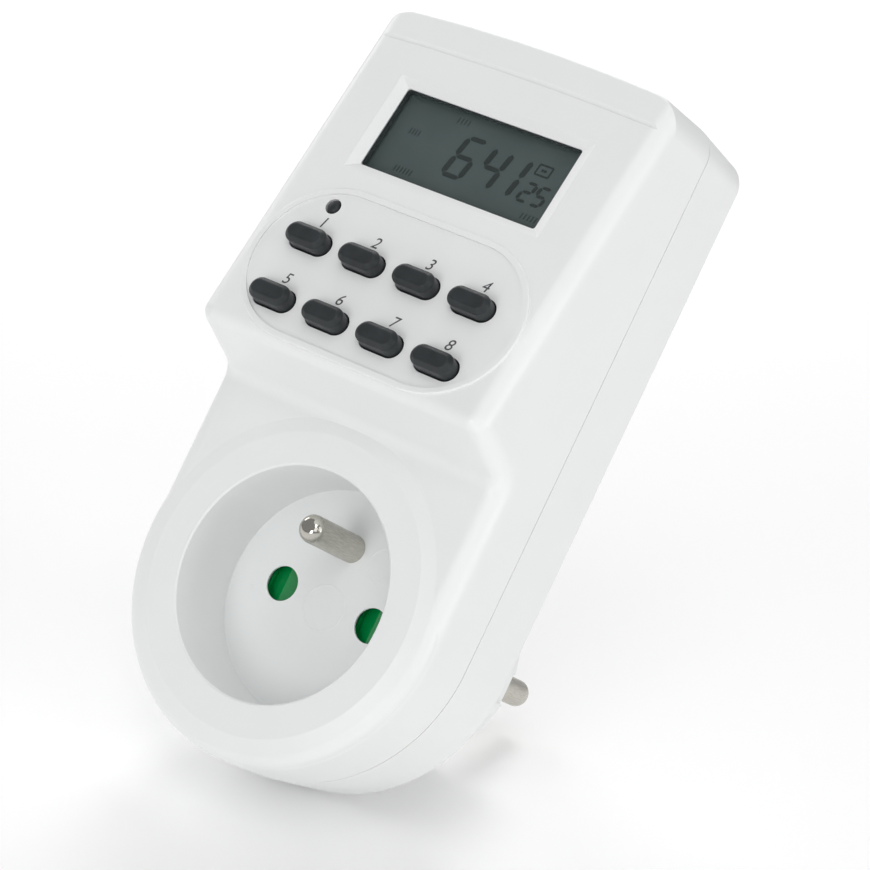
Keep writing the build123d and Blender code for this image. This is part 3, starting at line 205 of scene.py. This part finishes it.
def mottled(name, low, high, roughness, grain, depth, **constants):
    """The common finish: a faint change of tone, uneven gloss and a fine grain."""
    shader = Shader(name, **constants)
    fine = shader.noise(grain, 2.0)
    broad = shader.noise(grain * 30)
    shader.colour(shader.ramp(broad, low, high))
    shader.rough(shader.spread(fine, *roughness))
    shader.relief((fine, depth))
    return shader.material


def white_abs(name, tone, roughness):
    """Spark eroded white ABS: a very fine grain, with faint flow marks."""
    shader = Shader(name, IOR=1.5)
    fine = shader.noise(0.16 * MM, 2.0)
    cloud = shader.noise(14 * MM, 2.0)
    low = [c * 0.985 for c in tone]
    shader.colour(shader.ramp(cloud, low, tone))
    shader.rough(shader.spread(fine, roughness - 0.06, roughness + 0.06))
    shader.relief((cloud, 0.02 * MM), (fine, 0.006 * MM))
    return shader.material


def drawn_metal(name, low, high, along):
    """A metal shader with fine lines along one axis, and the value that makes the lines."""
    shader = Shader(name, Metallic=1.0)
    stretch = [1.0, 1.0, 1.0]
    stretch["XYZ".index(along)] = LINE_STRETCH
    lines = shader.noise(0.12 * MM, 2.0, stretch)
    shader.colour(shader.ramp(lines, low, high))
    shader.relief((lines, 0.002 * MM))
    return shader, lines


def brushed(name, low, high, roughness, along):
    """Drawn or rolled metal whose gloss changes with its lines."""
    shader, lines = drawn_metal(name, low, high, along)
    shader.rough(shader.spread(lines, *roughness))
    return shader.material


def pin_nickel(name, tip, root):
    """Nickel plate, polished at the rounded tip and tumbled dull from root on, both places along Y."""
    shader, _ = drawn_metal(name, (0.46, 0.445, 0.40), (0.62, 0.60, 0.55), "Y")
    split = shader.node("ShaderNodeSeparateXYZ")
    shader.link(shader.place, split.inputs["Vector"])
    dull = shader.spread(shader.noise(0.4 * MM), 0.30, 0.44)
    worn = shader.spread(split.outputs["Y"], 0.0, 1.0, tip, root)
    product = shader.node("ShaderNodeMath", operation="MULTIPLY")
    floor = shader.node("ShaderNodeMath", operation="ADD")
    floor.inputs[1].default_value = TIP_ROUGHNESS
    shader.link(dull, product.inputs[0])
    shader.link(worn, product.inputs[1])
    shader.link(product.outputs["Value"], floor.inputs[0])
    shader.rough(floor.outputs["Value"])
    return shader.material


def circuit_board(name, low, high, copper):
    """Lacquered board: tone in patches, with raised tracks under the lacquer."""
    shader = Shader(name, IOR=1.5)
    tracks = shader.node("ShaderNodeTexVoronoi", feature="DISTANCE_TO_EDGE")
    tracks.inputs["Scale"].default_value = TRACK_SCALE
    shader.link(shader.place, tracks.inputs["Vector"])
    patches = shader.ramp(shader.noise(4 * MM), low, high)
    mix = shader.node("ShaderNodeMix", data_type="RGBA")
    mix.inputs[7].default_value = (*copper, 1)
    edge = shader.spread(tracks.outputs["Distance"], 0.6, 0.0, 0.04, 0.10)
    shader.link(edge, mix.inputs[0])
    shader.link(patches, mix.inputs[6])
    shader.colour(mix.outputs[2])
    shader.rough(shader.spread(shader.noise(1 * MM), 0.25, 0.45))
    shader.relief((tracks.outputs["Distance"], 0.02 * MM))
    return shader.material


def key_rubber(name):
    """Slate grey silicone with a dusty bloom in paler patches."""
    shader = Shader(name, IOR=1.43)
    fine = shader.noise(0.2 * MM, 3.0)
    bloom = shader.noise(2.5 * MM, 3.0)
    shader.colour(shader.ramp(bloom, (0.016, 0.020, 0.022), (0.026, 0.031, 0.034)))
    shader.rough(shader.spread(fine, 0.36, 0.52))
    shader.relief((bloom, 0.01 * MM), (fine, 0.006 * MM))
    return shader.material


def lcd_face(name):
    """The grey green of an unlit liquid crystal display."""
    shader = Shader(name, IOR=1.5)
    grain = shader.noise(0.25 * MM, 2.0)
    haze = shader.noise(9 * MM, 2.0)
    shader.colour(shader.ramp(haze, (0.094, 0.130, 0.127), (0.110, 0.148, 0.144)))
    shader.rough(shader.spread(grain, 0.38, 0.5))
    shader.relief((grain, 0.002 * MM))
    return shader.material


def clear_pane(name):
    """Clear acrylic with a faint haze."""
    shader = Shader(name, IOR=1.49, Alpha=0.12)
    haze = shader.noise(6 * MM, 2.0)
    shader.colour(shader.ramp(haze, (0.05, 0.06, 0.06), (0.07, 0.08, 0.08)))
    shader.rough(shader.spread(haze, 0.05, 0.11))
    return shader.material


plain = {
    "carbon": ((0.012, 0.012, 0.012), (0.02, 0.02, 0.02), (0.6, 0.8)),
    "mat_rubber": ((0.10, 0.11, 0.115), (0.13, 0.14, 0.145), (0.5, 0.65)),
    "black_plastic": ((0.010, 0.010, 0.011), (0.018, 0.018, 0.019), (0.35, 0.5)),
    "relay_blue": ((0.012, 0.06, 0.26), (0.018, 0.08, 0.32), (0.25, 0.4)),
    "capacitor_yellow": ((0.60, 0.40, 0.03), (0.68, 0.46, 0.05), (0.3, 0.45)),
    "varistor_blue": ((0.015, 0.09, 0.32), (0.02, 0.12, 0.38), (0.2, 0.35)),
    "resistor_grey": ((0.20, 0.22, 0.22), (0.26, 0.28, 0.28), (0.6, 0.8)),
    "wire_brown": ((0.10, 0.035, 0.012), (0.13, 0.05, 0.02), (0.35, 0.5)),
    "wire_blue": ((0.015, 0.05, 0.30), (0.02, 0.07, 0.36), (0.35, 0.5)),
    "ribbon_grey": ((0.25, 0.26, 0.28), (0.30, 0.31, 0.33), (0.4, 0.55)),
}
finishes = {
    name: mottled(name, low, high, roughness, 0.2 * MM, 0.004 * MM)
    for name, (low, high, roughness) in plain.items()
}
finishes["white_casing"] = white_abs("white_casing", (0.86, 0.87, 0.868), 0.36)
finishes["white_insert"] = white_abs("white_insert", (0.86, 0.875, 0.875), 0.36)
finishes["shutter_green"] = mottled(
    "shutter_green", (0.0, 0.22, 0.05), (0.0, 0.27, 0.065), (0.08, 0.16), 0.4 * MM, 0.002 * MM,
    Specular_IOR_Level=0.4)
finishes["brass"] = brushed("brass", (0.55, 0.36, 0.12), (0.70, 0.48, 0.18), (0.25, 0.4), "Z")
finishes["steel"] = brushed("steel", (0.42, 0.42, 0.43), (0.56, 0.56, 0.57), (0.28, 0.45), "Y")
finishes["nickel"] = pin_nickel("nickel", 19 * MM, 16 * MM)
finishes["earth_nickel"] = pin_nickel("earth_nickel", -52.0 * MM, -50.2 * MM)
finishes["board_green"] = circuit_board(
    "board_green", (0.01, 0.07, 0.025), (0.015, 0.10, 0.035), (0.05, 0.22, 0.07))
finishes["board_buff"] = circuit_board(
    "board_buff", (0.36, 0.24, 0.10), (0.44, 0.30, 0.13), (0.52, 0.36, 0.17))
finishes["key_rubber"] = key_rubber("key_rubber")
finishes["lcd_glass"] = lcd_face("lcd_glass")
finishes["clear_window"] = clear_pane("clear_window")
# the pane's cut sides: a dark colour that is a painted reflection of the dark display inside the pane
finishes["pane_edge_painted_reflection"] = mottled(
    "pane_edge_painted_reflection", (0.030, 0.040, 0.040), (0.040, 0.052, 0.052), (0.15, 0.3), 0.4 * MM, 0.002 * MM)
finishes["ink"] = mottled("ink", (0.06, 0.06, 0.065), (0.09, 0.09, 0.095), (0.5, 0.65), 0.1 * MM, 0.002 * MM)
finishes["segments"] = mottled(
    "segments", (0.018, 0.029, 0.029), (0.024, 0.037, 0.037), (0.38, 0.5), 0.3 * MM, 0.001 * MM)
finishes["faint_segments"] = mottled(
    "faint_segments", (0.036, 0.054, 0.054), (0.044, 0.064, 0.064), (0.38, 0.5), 0.3 * MM, 0.001 * MM)

slots = {part["node"]: part["material_slot"] for part in frame["record"]["subparts"]}
for node, piece in frame["nodes"].items():
    finish = finishes["earth_nickel" if node == "socket_earth_pin" else slots[node]]
    piece.data.materials.clear()
    piece.data.materials.append(finish)


# ---------------------------------------------------------------- mesh helpers

WELD = 0.001 * MM


def new_mesh_piece(name, mesh, slot, *materials):
    """An object of that mesh, with the materials given; the slot is not used."""
    piece = bpy.data.objects.new(name, mesh)
    bpy.context.scene.collection.objects.link(piece)
    for material in materials:
        mesh.materials.append(material)
    return piece


def new_piece(name, mesh, body, slot, *materials):
    """An object of that mesh, which rides on a body and has the materials given; the slot is not used."""
    piece = new_mesh_piece(name, mesh, slot, *materials)
    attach(piece, body)
    return piece


def stadium_ring(bm, half_straight, radius, height, steps=20):
    """A closed ring of vertices: two half circles joined by straight sides."""
    ring = []
    for side in (1, -1):
        for step in range(steps + 1):
            turn = math.pi * (step / steps - 0.5) + (0 if side == 1 else math.pi)
            x = side * half_straight + radius * math.cos(turn)
            ring.append(bm.verts.new((x, radius * math.sin(turn), height)))
    return ring


def skin(bm, rings):
    """A closed skin over rings that hold the same number of vertices."""
    for lower, upper in zip(rings, rings[1:]):
        count = len(lower)
        for i in range(count):
            bm.faces.new((lower[i], lower[(i + 1) % count], upper[(i + 1) % count], upper[i]))
    bm.faces.new(reversed(rings[0]))
    bm.faces.new(rings[-1])


def finish_mesh(bm, name, matrix=None, smooth_angle=40):
    """The mesh in the frame, with no double points and shaded smooth except at sharp edges."""
    bmesh.ops.remove_doubles(bm, verts=bm.verts, dist=WELD)
    bmesh.ops.recalc_face_normals(bm, faces=bm.faces)
    if matrix:
        bm.transform(matrix)
    mesh = bpy.data.meshes.new(name)
    bm.to_mesh(mesh)
    bm.free()
    mesh.polygons.foreach_set("use_smooth", [True] * len(mesh.polygons))
    mesh.set_sharp_from_angle(angle=math.radians(smooth_angle))
    return mesh


def deck_place(node):
    """Where a node's middle is in the deck's plane: across, and up the slope."""
    top = [v.co - DECK_FOOT for v in frame["nodes"][node].data.vertices]
    reach = max(p.dot(deck_out) for p in top)
    face = [p for p in top if p.dot(deck_out) > reach - INK]
    across = [p.dot(deck_across) for p in face]
    place = [p.dot(deck_up) for p in face]
    return (min(across) + max(across)) / 2, (min(place) + max(place)) / 2


# ---------------------------------------------------------------- keys

def key_profile():
    """A radius, a height and a share of the straight sides, from the stem's foot to the dished top."""
    half = KEY_WIDTH / 2
    rim = half - KEY_BEVEL
    yield KEY_STEM_RADIUS, KEY_STEM_BOTTOM, 0.0
    yield KEY_STEM_RADIUS, KEY_FLANGE_BOTTOM, 0.0
    for radius, height in (
        (half + KEY_FLANGE, KEY_FLANGE_BOTTOM),
        (half + KEY_FLANGE, KEY_FLANGE_TOP),
        (half, KEY_FLANGE_TOP),
        (half, KEY_HEIGHT - KEY_BEVEL - 1.5 * KEY_EDGE),
        (half - 0.12 * KEY_EDGE, KEY_HEIGHT - KEY_BEVEL - 0.6 * KEY_EDGE),
        (half - 0.5 * KEY_EDGE, KEY_HEIGHT - KEY_BEVEL),
        (half - KEY_EDGE, KEY_HEIGHT - KEY_BEVEL + 0.6 * KEY_EDGE),
        (rim + 0.9 * KEY_EDGE, KEY_HEIGHT - KEY_EDGE),
        (rim + 0.25 * KEY_EDGE, KEY_HEIGHT - 0.4 * KEY_EDGE),
        (rim - 0.5 * KEY_EDGE, KEY_HEIGHT - 0.08 * KEY_EDGE),
        (rim - 1.6 * KEY_EDGE, KEY_HEIGHT),
        (rim * 0.5, KEY_HEIGHT - 0.2 * KEY_DOME),
    ):
        yield radius, height, 1.0


def make_key(node):
    across, place = deck_place(node)
    straight = (KEY_LENGTH - KEY_WIDTH) / 2
    bm = bmesh.new()
    rings = [stadium_ring(bm, straight * share, radius, height) for radius, height, share in key_profile()]
    skin(bm, rings)
    mesh = finish_mesh(bm, f"{node}_cap", deck_matrix @ Matrix.Translation((across, place, 0)), 50)
    key = new_piece(f"{node}_cap", mesh, node, "key_rubber", finishes["key_rubber"])
    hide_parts(node)


keys = [f"button_{number}" for number in range(1, 9)]
for node in keys:
    make_key(node)


def make_reset_dome():
    """The domed face of the reset button."""
    across, place = deck_place("reset_button")
    points = [v.co - DECK_FOOT for v in frame["nodes"]["reset_button"].data.vertices]
    top = max(p.dot(deck_out) for p in points)
    radius = max(p.dot(deck_across) for p in points if p.dot(deck_out) > top - INK) - across
    bm = bmesh.new()
    rings = []
    for share, rise in RESET_DOME:
        rings.append([
            bm.verts.new((radius * share * math.cos(turn), radius * share * math.sin(turn), top + rise))
            for turn in (2 * math.pi * step / RESET_DOME_STEPS for step in range(RESET_DOME_STEPS))
        ])
    skin(bm, rings)
    mesh = finish_mesh(bm, "reset_dome", deck_matrix @ Matrix.Translation((across, place, 0)), 60)
    new_piece("reset_dome", mesh, "reset_button", "key_rubber", finishes["key_rubber"])


make_reset_dome()


# ---------------------------------------------------------------- display

def rounded_rectangle(bm, width, length, corner, height, steps=6):
    """A closed ring of vertices round a rectangle with round corners."""
    ring = []
    for quarter, (sx, sy) in enumerate(((1, 1), (-1, 1), (-1, -1), (1, -1))):
        for step in range(steps + 1):
            turn = math.pi / 2 * (quarter + step / steps)
            x = sx * (width / 2 - corner) + corner * math.cos(turn)
            y = sy * (length / 2 - corner) + corner * math.sin(turn)
            ring.append(bm.verts.new((x, y, height)))
    return ring


def make_pane():
    """Clear pane with a raised centre, whose cut sides take a dark finish: a painted reflection of the dark
    display.
    """
    bm = bmesh.new()
    sizes = [
        (PANE_FLANGE, PANE_BACK),
        (PANE_FLANGE, PANE_SEAT),
        (0, PANE_SEAT),
        (0, PANE_FACE - PANE_EDGE),
        (-PANE_EDGE, PANE_FACE),
    ]
    rings = [
        rounded_rectangle(bm, PANE_WIDTH + 2 * grow, PANE_HEIGHT + 2 * grow, PANE_CORNER, height)
        for grow, height in sizes
    ]
    skin(bm, rings)
    mesh = finish_mesh(bm, "display_pane", deck_matrix @ Matrix.Translation((0, WINDOW_PLACE, 0)), 30)
    pane = new_piece(
        "display_pane", mesh, "case", "clear_window", finishes["clear_window"], finishes["pane_edge_painted_reflection"])
    # the cut sides get the dark finish, a painted reflection of the display
    for face in mesh.polygons:
        if abs(face.normal.dot(deck_out)) < 0.5:
            face.material_index = 1
    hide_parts("display_window")


make_pane()

SEGMENT_GAP = 0.07 * MM
# how much thicker a figure's upright bars are than its level ones, and how far its top leans over
UPRIGHT_SHARE = 1.25
SLANT = math.tan(math.radians(8))
# the ends of each bar of a figure, in widths and half heights, and the bars that each figure lights
SEGMENT_ENDS = {
    "a": ((0, 2), (1, 2)),
    "b": ((1, 2), (1, 1)),
    "c": ((1, 1), (1, 0)),
    "d": ((0, 0), (1, 0)),
    "e": ((0, 1), (0, 0)),
    "f": ((0, 2), (0, 1)),
    "g": ((0, 1), (1, 1)),
}
DIGIT_SEGMENTS = {"1": "bc", "2": "abged", "4": "fgbc", "5": "afgcd", "6": "afgedc"}


def segment_outline(start, end, width):
    """A bar with pointed ends between two points."""
    run = (end - start).normalized()
    side = Vector((-run.y, run.x)) * width / 2
    tip = width / 2 + SEGMENT_GAP
    a, b = start + run * tip, end - run * tip
    return [start + run * SEGMENT_GAP, a - side, b - side, end - run * SEGMENT_GAP, b + side, a + side]


def digit_bars(digit, width, height):
    """The lit bars of one digit, from its lower left corner."""
    for letter in DIGIT_SEGMENTS[digit]:
        start, end = (Vector((x * width, y * height / 2)) for x, y in SEGMENT_ENDS[letter])
        yield start, end


def bar(x, y, length, width, turn=0.0):
    """A plain bar on the display, in millimetres, turned from the horizontal by degrees."""
    along = Vector((math.cos(math.radians(turn)), math.sin(math.radians(turn)))) * length / 2
    side = Vector((-along.y, along.x)).normalized() * width / 2
    middle = Vector((x, y))
    corners = (-along - side, along - side, along + side, -along + side)
    return [(middle + corner) * MM for corner in corners]


def display_mesh(name, outlines, material):
    """Thin plates of those outlines, in one finish, just above the display's face."""
    bm = bmesh.new()
    heights = (LCD_FACE + MARK_GAP, LCD_FACE + MARK_GAP + MARK_THICKNESS)
    for outline in outlines:
        skin(bm, [[bm.verts.new((x, y, height)) for x, y in outline] for height in heights])
    mesh = finish_mesh(bm, name, deck_matrix)
    new_piece(name, mesh, "case", "lcd_glass", material)


# figures on the display: lower left corner, width, height and stroke, in millimetres
FIGURES = [
    ("6", -4.5, 38.4, 3.4, 7.4, 0.85),
    ("4", 1.3, 38.4, 3.2, 7.2, 0.85),
    ("1", 5.2, 38.4, 3.2, 7.2, 0.85),
    ("2", 10.4, 38.6, 1.8, 3.4, 0.55),
    ("5", 13.1, 38.6, 1.8, 3.4, 0.55),
]
BOX_PLACE = (12.2, 44.7)
BOX_SIZE = (2.6, 1.9)
BOX_STROKE = 0.35
BOX_SLANT = 86
BOX_BAR = (1.0, 0.5)

# rows of unlit bars: the first one's place, how many, their pitch in millimetres and their slant in degrees
FAINT_ROWS = [
    (-7.2, 48.0, 4, 0.7, 86),
    (-14.3, 43.4, 4, 0.6, 86),
    (-12.9, 36.4, 6, 0.65, 84),
    (13.0, 36.3, 5, 0.7, 84),
]
FAINT_BAR = (1.1, 0.28)


def make_reading():
    """A generic reading: a clock's figures, smaller ones beside them, and a box above those."""
    outlines = []
    for digit, x, y, width, height, thick in FIGURES:
        corner = Vector((x, y)) * MM
        for start, end in digit_bars(digit, width * MM, height * MM):
            upright = UPRIGHT_SHARE if start.x == end.x else 1.0
            outline = [p + corner for p in segment_outline(start, end, thick * upright * MM)]
            outlines.append([(p.x + (p.y - corner.y) * SLANT, p.y) for p in outline])
    box_x, box_y = BOX_PLACE
    box_width, box_height = BOX_SIZE
    for side in (-1, 1):
        outlines.append(bar(box_x + side * box_width / 2, box_y, box_height, BOX_STROKE, BOX_SLANT))
        outlines.append(bar(box_x, box_y + side * box_height / 2, box_width, BOX_STROKE))
    outlines.append(bar(box_x, box_y, *BOX_BAR))
    display_mesh("display_reading", outlines, finishes["segments"])


def make_faint_marks():
    """Rows of short unlit bars near the corners of the display."""
    outlines = []
    for x, y, count, pitch, turn in FAINT_ROWS:
        outlines += [bar(x + step * pitch, y, *FAINT_BAR, turn) for step in range(count)]
    display_mesh("display_marks", outlines, finishes["faint_segments"])


make_reading()
make_faint_marks()


# ---------------------------------------------------------------- printed numerals

def make_numeral(text, name, across, place):
    """A printed figure that lies on the deck."""
    curve = bpy.data.curves.new(name, "FONT")
    curve.body = text
    curve.size = NUMERAL_HEIGHT * FONT_SIZE_PER_HEIGHT
    curve.align_x = "CENTER"
    curve.shear = NUMERAL_SLANT
    curve.extrude = INK / 2
    curve.resolution_u = 6
    holder = bpy.data.objects.new(name, curve)
    bpy.context.scene.collection.objects.link(holder)
    bpy.context.view_layer.update()
    mesh = bpy.data.meshes.new_from_object(holder.evaluated_get(bpy.context.evaluated_depsgraph_get()))
    bpy.data.objects.remove(holder)
    mesh.transform(deck_matrix @ Matrix.Translation((across, place, INK / 2 + INK_GAP)))
    new_piece(name, mesh, "case", "key_rubber", finishes["ink"])


for number, node in enumerate(keys, start=1):
    across, place = deck_place(node)
    make_numeral(str(number), f"numeral_{number}", across, place + NUMERAL_LIFT)


# ---------------------------------------------------------------- marks on the recess floor

RECESS_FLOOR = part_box("socket_insert")[0].y
MOULD_RING_RISE = 0.05 * MM
MOULD_RING_STEPS = 72
# place across and up, radius and half width
MOULD_RINGS = {
    "mould_ring_middle": (-0.1 * MM, -0.7 * MM, 3.9 * MM, 0.16 * MM),
    "mould_ring_side": (6.9 * MM, 9.6 * MM, 2.9 * MM, 0.16 * MM),
    "ejector_mark": (-14.9 * MM, -2.7 * MM, 0.45 * MM, 0.08 * MM),
}


def make_mould_ring(name, x, z, radius, width):
    """A fine raised ring on the recess floor, left by a mould insert."""
    bm = bmesh.new()
    profile = [
        (radius - width, 0),
        (radius - width / 2, MOULD_RING_RISE),
        (radius + width / 2, MOULD_RING_RISE),
        (radius + width, 0),
    ]
    rings = []
    for step in range(MOULD_RING_STEPS):
        turn = 2 * math.pi * step / MOULD_RING_STEPS
        rings.append([
            bm.verts.new((x + r * math.cos(turn), RECESS_FLOOR - out, z + r * math.sin(turn)))
            for r, out in profile
        ])
    rings.append(rings[0])
    for near, far in zip(rings, rings[1:]):
        for i in range(len(profile) - 1):
            bm.faces.new((near[i], near[i + 1], far[i + 1], far[i]))
        bm.faces.new((near[-1], near[0], far[0], far[-1]))
    mesh = finish_mesh(bm, name, smooth_angle=60)
    new_piece(name, mesh, "case", "white_insert", finishes["white_insert"])


for name, sizes in MOULD_RINGS.items():
    make_mould_ring(name, *sizes)


# ---------------------------------------------------------------- the shutter's spring

SPRING_TURNS = 12
SPRING_WIRE = 0.18 * MM
SPRING_STEPS = 18
WIRE_SIDES = 8


def make_spring():
    """The shutter's return spring, a coil of wire along the length of its box."""
    low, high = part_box("shutter_spring")
    coil = (high.z - low.z) / 2 - SPRING_WIRE
    middle = (low + high) / 2
    start, end = low.x + SPRING_WIRE, high.x - SPRING_WIRE
    count = SPRING_TURNS * SPRING_STEPS
    along = Vector((1, 0, 0))
    bm = bmesh.new()
    rings = []
    for step in range(count + 1):
        turn = 2 * math.pi * step / SPRING_STEPS
        out = Vector((0, math.cos(turn), math.sin(turn)))
        centre = Vector((start + (end - start) * step / count, middle.y, middle.z)) + out * coil
        ring = []
        for corner in range(WIRE_SIDES):
            around = 2 * math.pi / WIRE_SIDES * corner
            away = out * math.cos(around) + along * math.sin(around)
            ring.append(bm.verts.new(centre + away * SPRING_WIRE))
        rings.append(ring)
    skin(bm, rings)
    mesh = finish_mesh(bm, "return_spring")
    spring = new_mesh_piece("return_spring", mesh, "steel", finishes["steel"])
    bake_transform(spring)
    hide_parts("shutter_spring")


make_spring()


# ---------------------------------------------------------------- stage, light and camera

# the object leans back on the tips of its plug pins and the low edge of its case
STAND_NORMAL = Vector((0, -0.458, 0.889)).normalized()
FLOOR_HALF = 4.0
FLOOR_TONE = (0.95, 0.95, 0.95, 1)
FLOOR_ROUGHNESS = 0.9
FLOOR_GLOW = 0.075
WHITE = (1, 1, 1, 1)


def make_floor():
    """A plain pale floor that is clear when seen from below."""
    material = bpy.data.materials.new("floor")
    material.use_nodes = True
    tree = material.node_tree
    bsdf = tree.nodes["Principled BSDF"]
    bsdf.inputs["Base Color"].default_value = FLOOR_TONE
    bsdf.inputs["Roughness"].default_value = FLOOR_ROUGHNESS
    bsdf.inputs["Specular IOR Level"].default_value = 0.0
    bsdf.inputs["Emission Color"].default_value = WHITE
    bsdf.inputs["Emission Strength"].default_value = FLOOR_GLOW
    clear = tree.nodes.new("ShaderNodeBsdfTransparent")
    side = tree.nodes.new("ShaderNodeNewGeometry")
    mix = tree.nodes.new("ShaderNodeMixShader")
    tree.links.new(side.outputs["Backfacing"], mix.inputs["Fac"])
    tree.links.new(bsdf.outputs["BSDF"], mix.inputs[1])
    tree.links.new(clear.outputs["BSDF"], mix.inputs[2])
    tree.links.new(mix.outputs["Shader"], tree.nodes["Material Output"].inputs["Surface"])

    corners = [v.co for piece in frame["nodes"].values() for v in piece.data.vertices]
    height = min(c.dot(STAND_NORMAL) for c in corners)
    across = Vector((1, 0, 0))
    along = STAND_NORMAL.cross(across)
    middle = STAND_NORMAL * height
    bm = bmesh.new()
    bm.faces.new([
        bm.verts.new(middle + across * FLOOR_HALF * sx + along * FLOOR_HALF * sy)
        for sx, sy in ((-1, -1), (1, -1), (1, 1), (-1, 1))
    ])
    mesh = bpy.data.meshes.new("floor")
    bm.to_mesh(mesh)
    bm.free()
    mesh.materials.append(material)
    floor = bpy.data.objects.new("floor", mesh)
    bpy.context.scene.collection.objects.link(floor)
    floor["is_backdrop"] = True


make_floor()

# the studio's soft boxes: elevation above the floor and turn from the camera's side in degrees, side in
# metres, and power in watts
SOFT_BOXES = {
    "front": (27, 0, 0.6, 1.26),
    "front_high": (50, -7, 0.4, 1.20),
    "top": (75, 0, 0.9, 1.67),
    "right": (27, 45, 0.6, 1.20),
    "right_low": (8, 60, 0.4, 2.40),
    "left_low": (8, -30, 0.4, 2.53),
    "back_left": (27, -135, 0.6, 2.98),
    "back": (27, 180, 0.6, 2.74),
    "back_high": (50, 180, 0.4, 2.69),
}
SOFT_BOX_DISTANCE = 1.2
STUDIO_MIDDLE = Vector((0, -30, 33)) * MM
# from the object towards the camera
VIEW = Vector((0.5270, -0.8478, -0.0589))
studio_front = (VIEW - STAND_NORMAL * VIEW.dot(STAND_NORMAL)).normalized()
studio_right = STAND_NORMAL.cross(studio_front)


def soft_light(name, elevation, turn, size, power):
    """A square soft box that looks at the object."""
    light = bpy.data.lights.new(name, "AREA")
    light.shape = "SQUARE"
    light.size = size
    light.energy = power
    holder = bpy.data.objects.new(name, light)
    bpy.context.scene.collection.objects.link(holder)
    lift, swing = math.radians(elevation), math.radians(turn)
    level = studio_front * math.cos(swing) + studio_right * math.sin(swing)
    away = STAND_NORMAL * math.sin(lift) + level * math.cos(lift)
    holder.location = STUDIO_MIDDLE + away * SOFT_BOX_DISTANCE
    holder.rotation_euler = (-away).to_track_quat("-Z", "Y").to_euler()


for name, settings in SOFT_BOXES.items():
    soft_light(name, *settings)

WORLD_STRENGTH = 0.3376


def make_world():
    """An even white world."""
    world = bpy.data.worlds.new("studio")
    world.use_nodes = True
    back = world.node_tree.nodes["Background"]
    back.inputs["Color"].default_value = WHITE
    back.inputs["Strength"].default_value = WORLD_STRENGTH
    bpy.context.scene.world = world


make_world()

CAMERA_PLACE = Vector((261.59, -450.10, 4.03)) * MM
CAMERA_TURN = (93.741, -25.475, 30.255)
LENS = 122.907
SENSOR = 36.0
CLIP_START = 0.01

camera = bpy.data.objects.new("camera", bpy.data.cameras.new("camera"))
bpy.context.scene.collection.objects.link(camera)
camera.location = CAMERA_PLACE
camera.rotation_euler = [math.radians(turn) for turn in CAMERA_TURN]
camera.data.sensor_width = SENSOR
camera.data.lens = LENS
camera.data.clip_start = CLIP_START
bpy.context.scene.camera = camera
bpy.context.scene.view_settings.view_transform = "Standard"

low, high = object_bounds()
sizes = {"cad": [list(cad_low), list(cad_high)], "visual": [list(low), list(high)]}
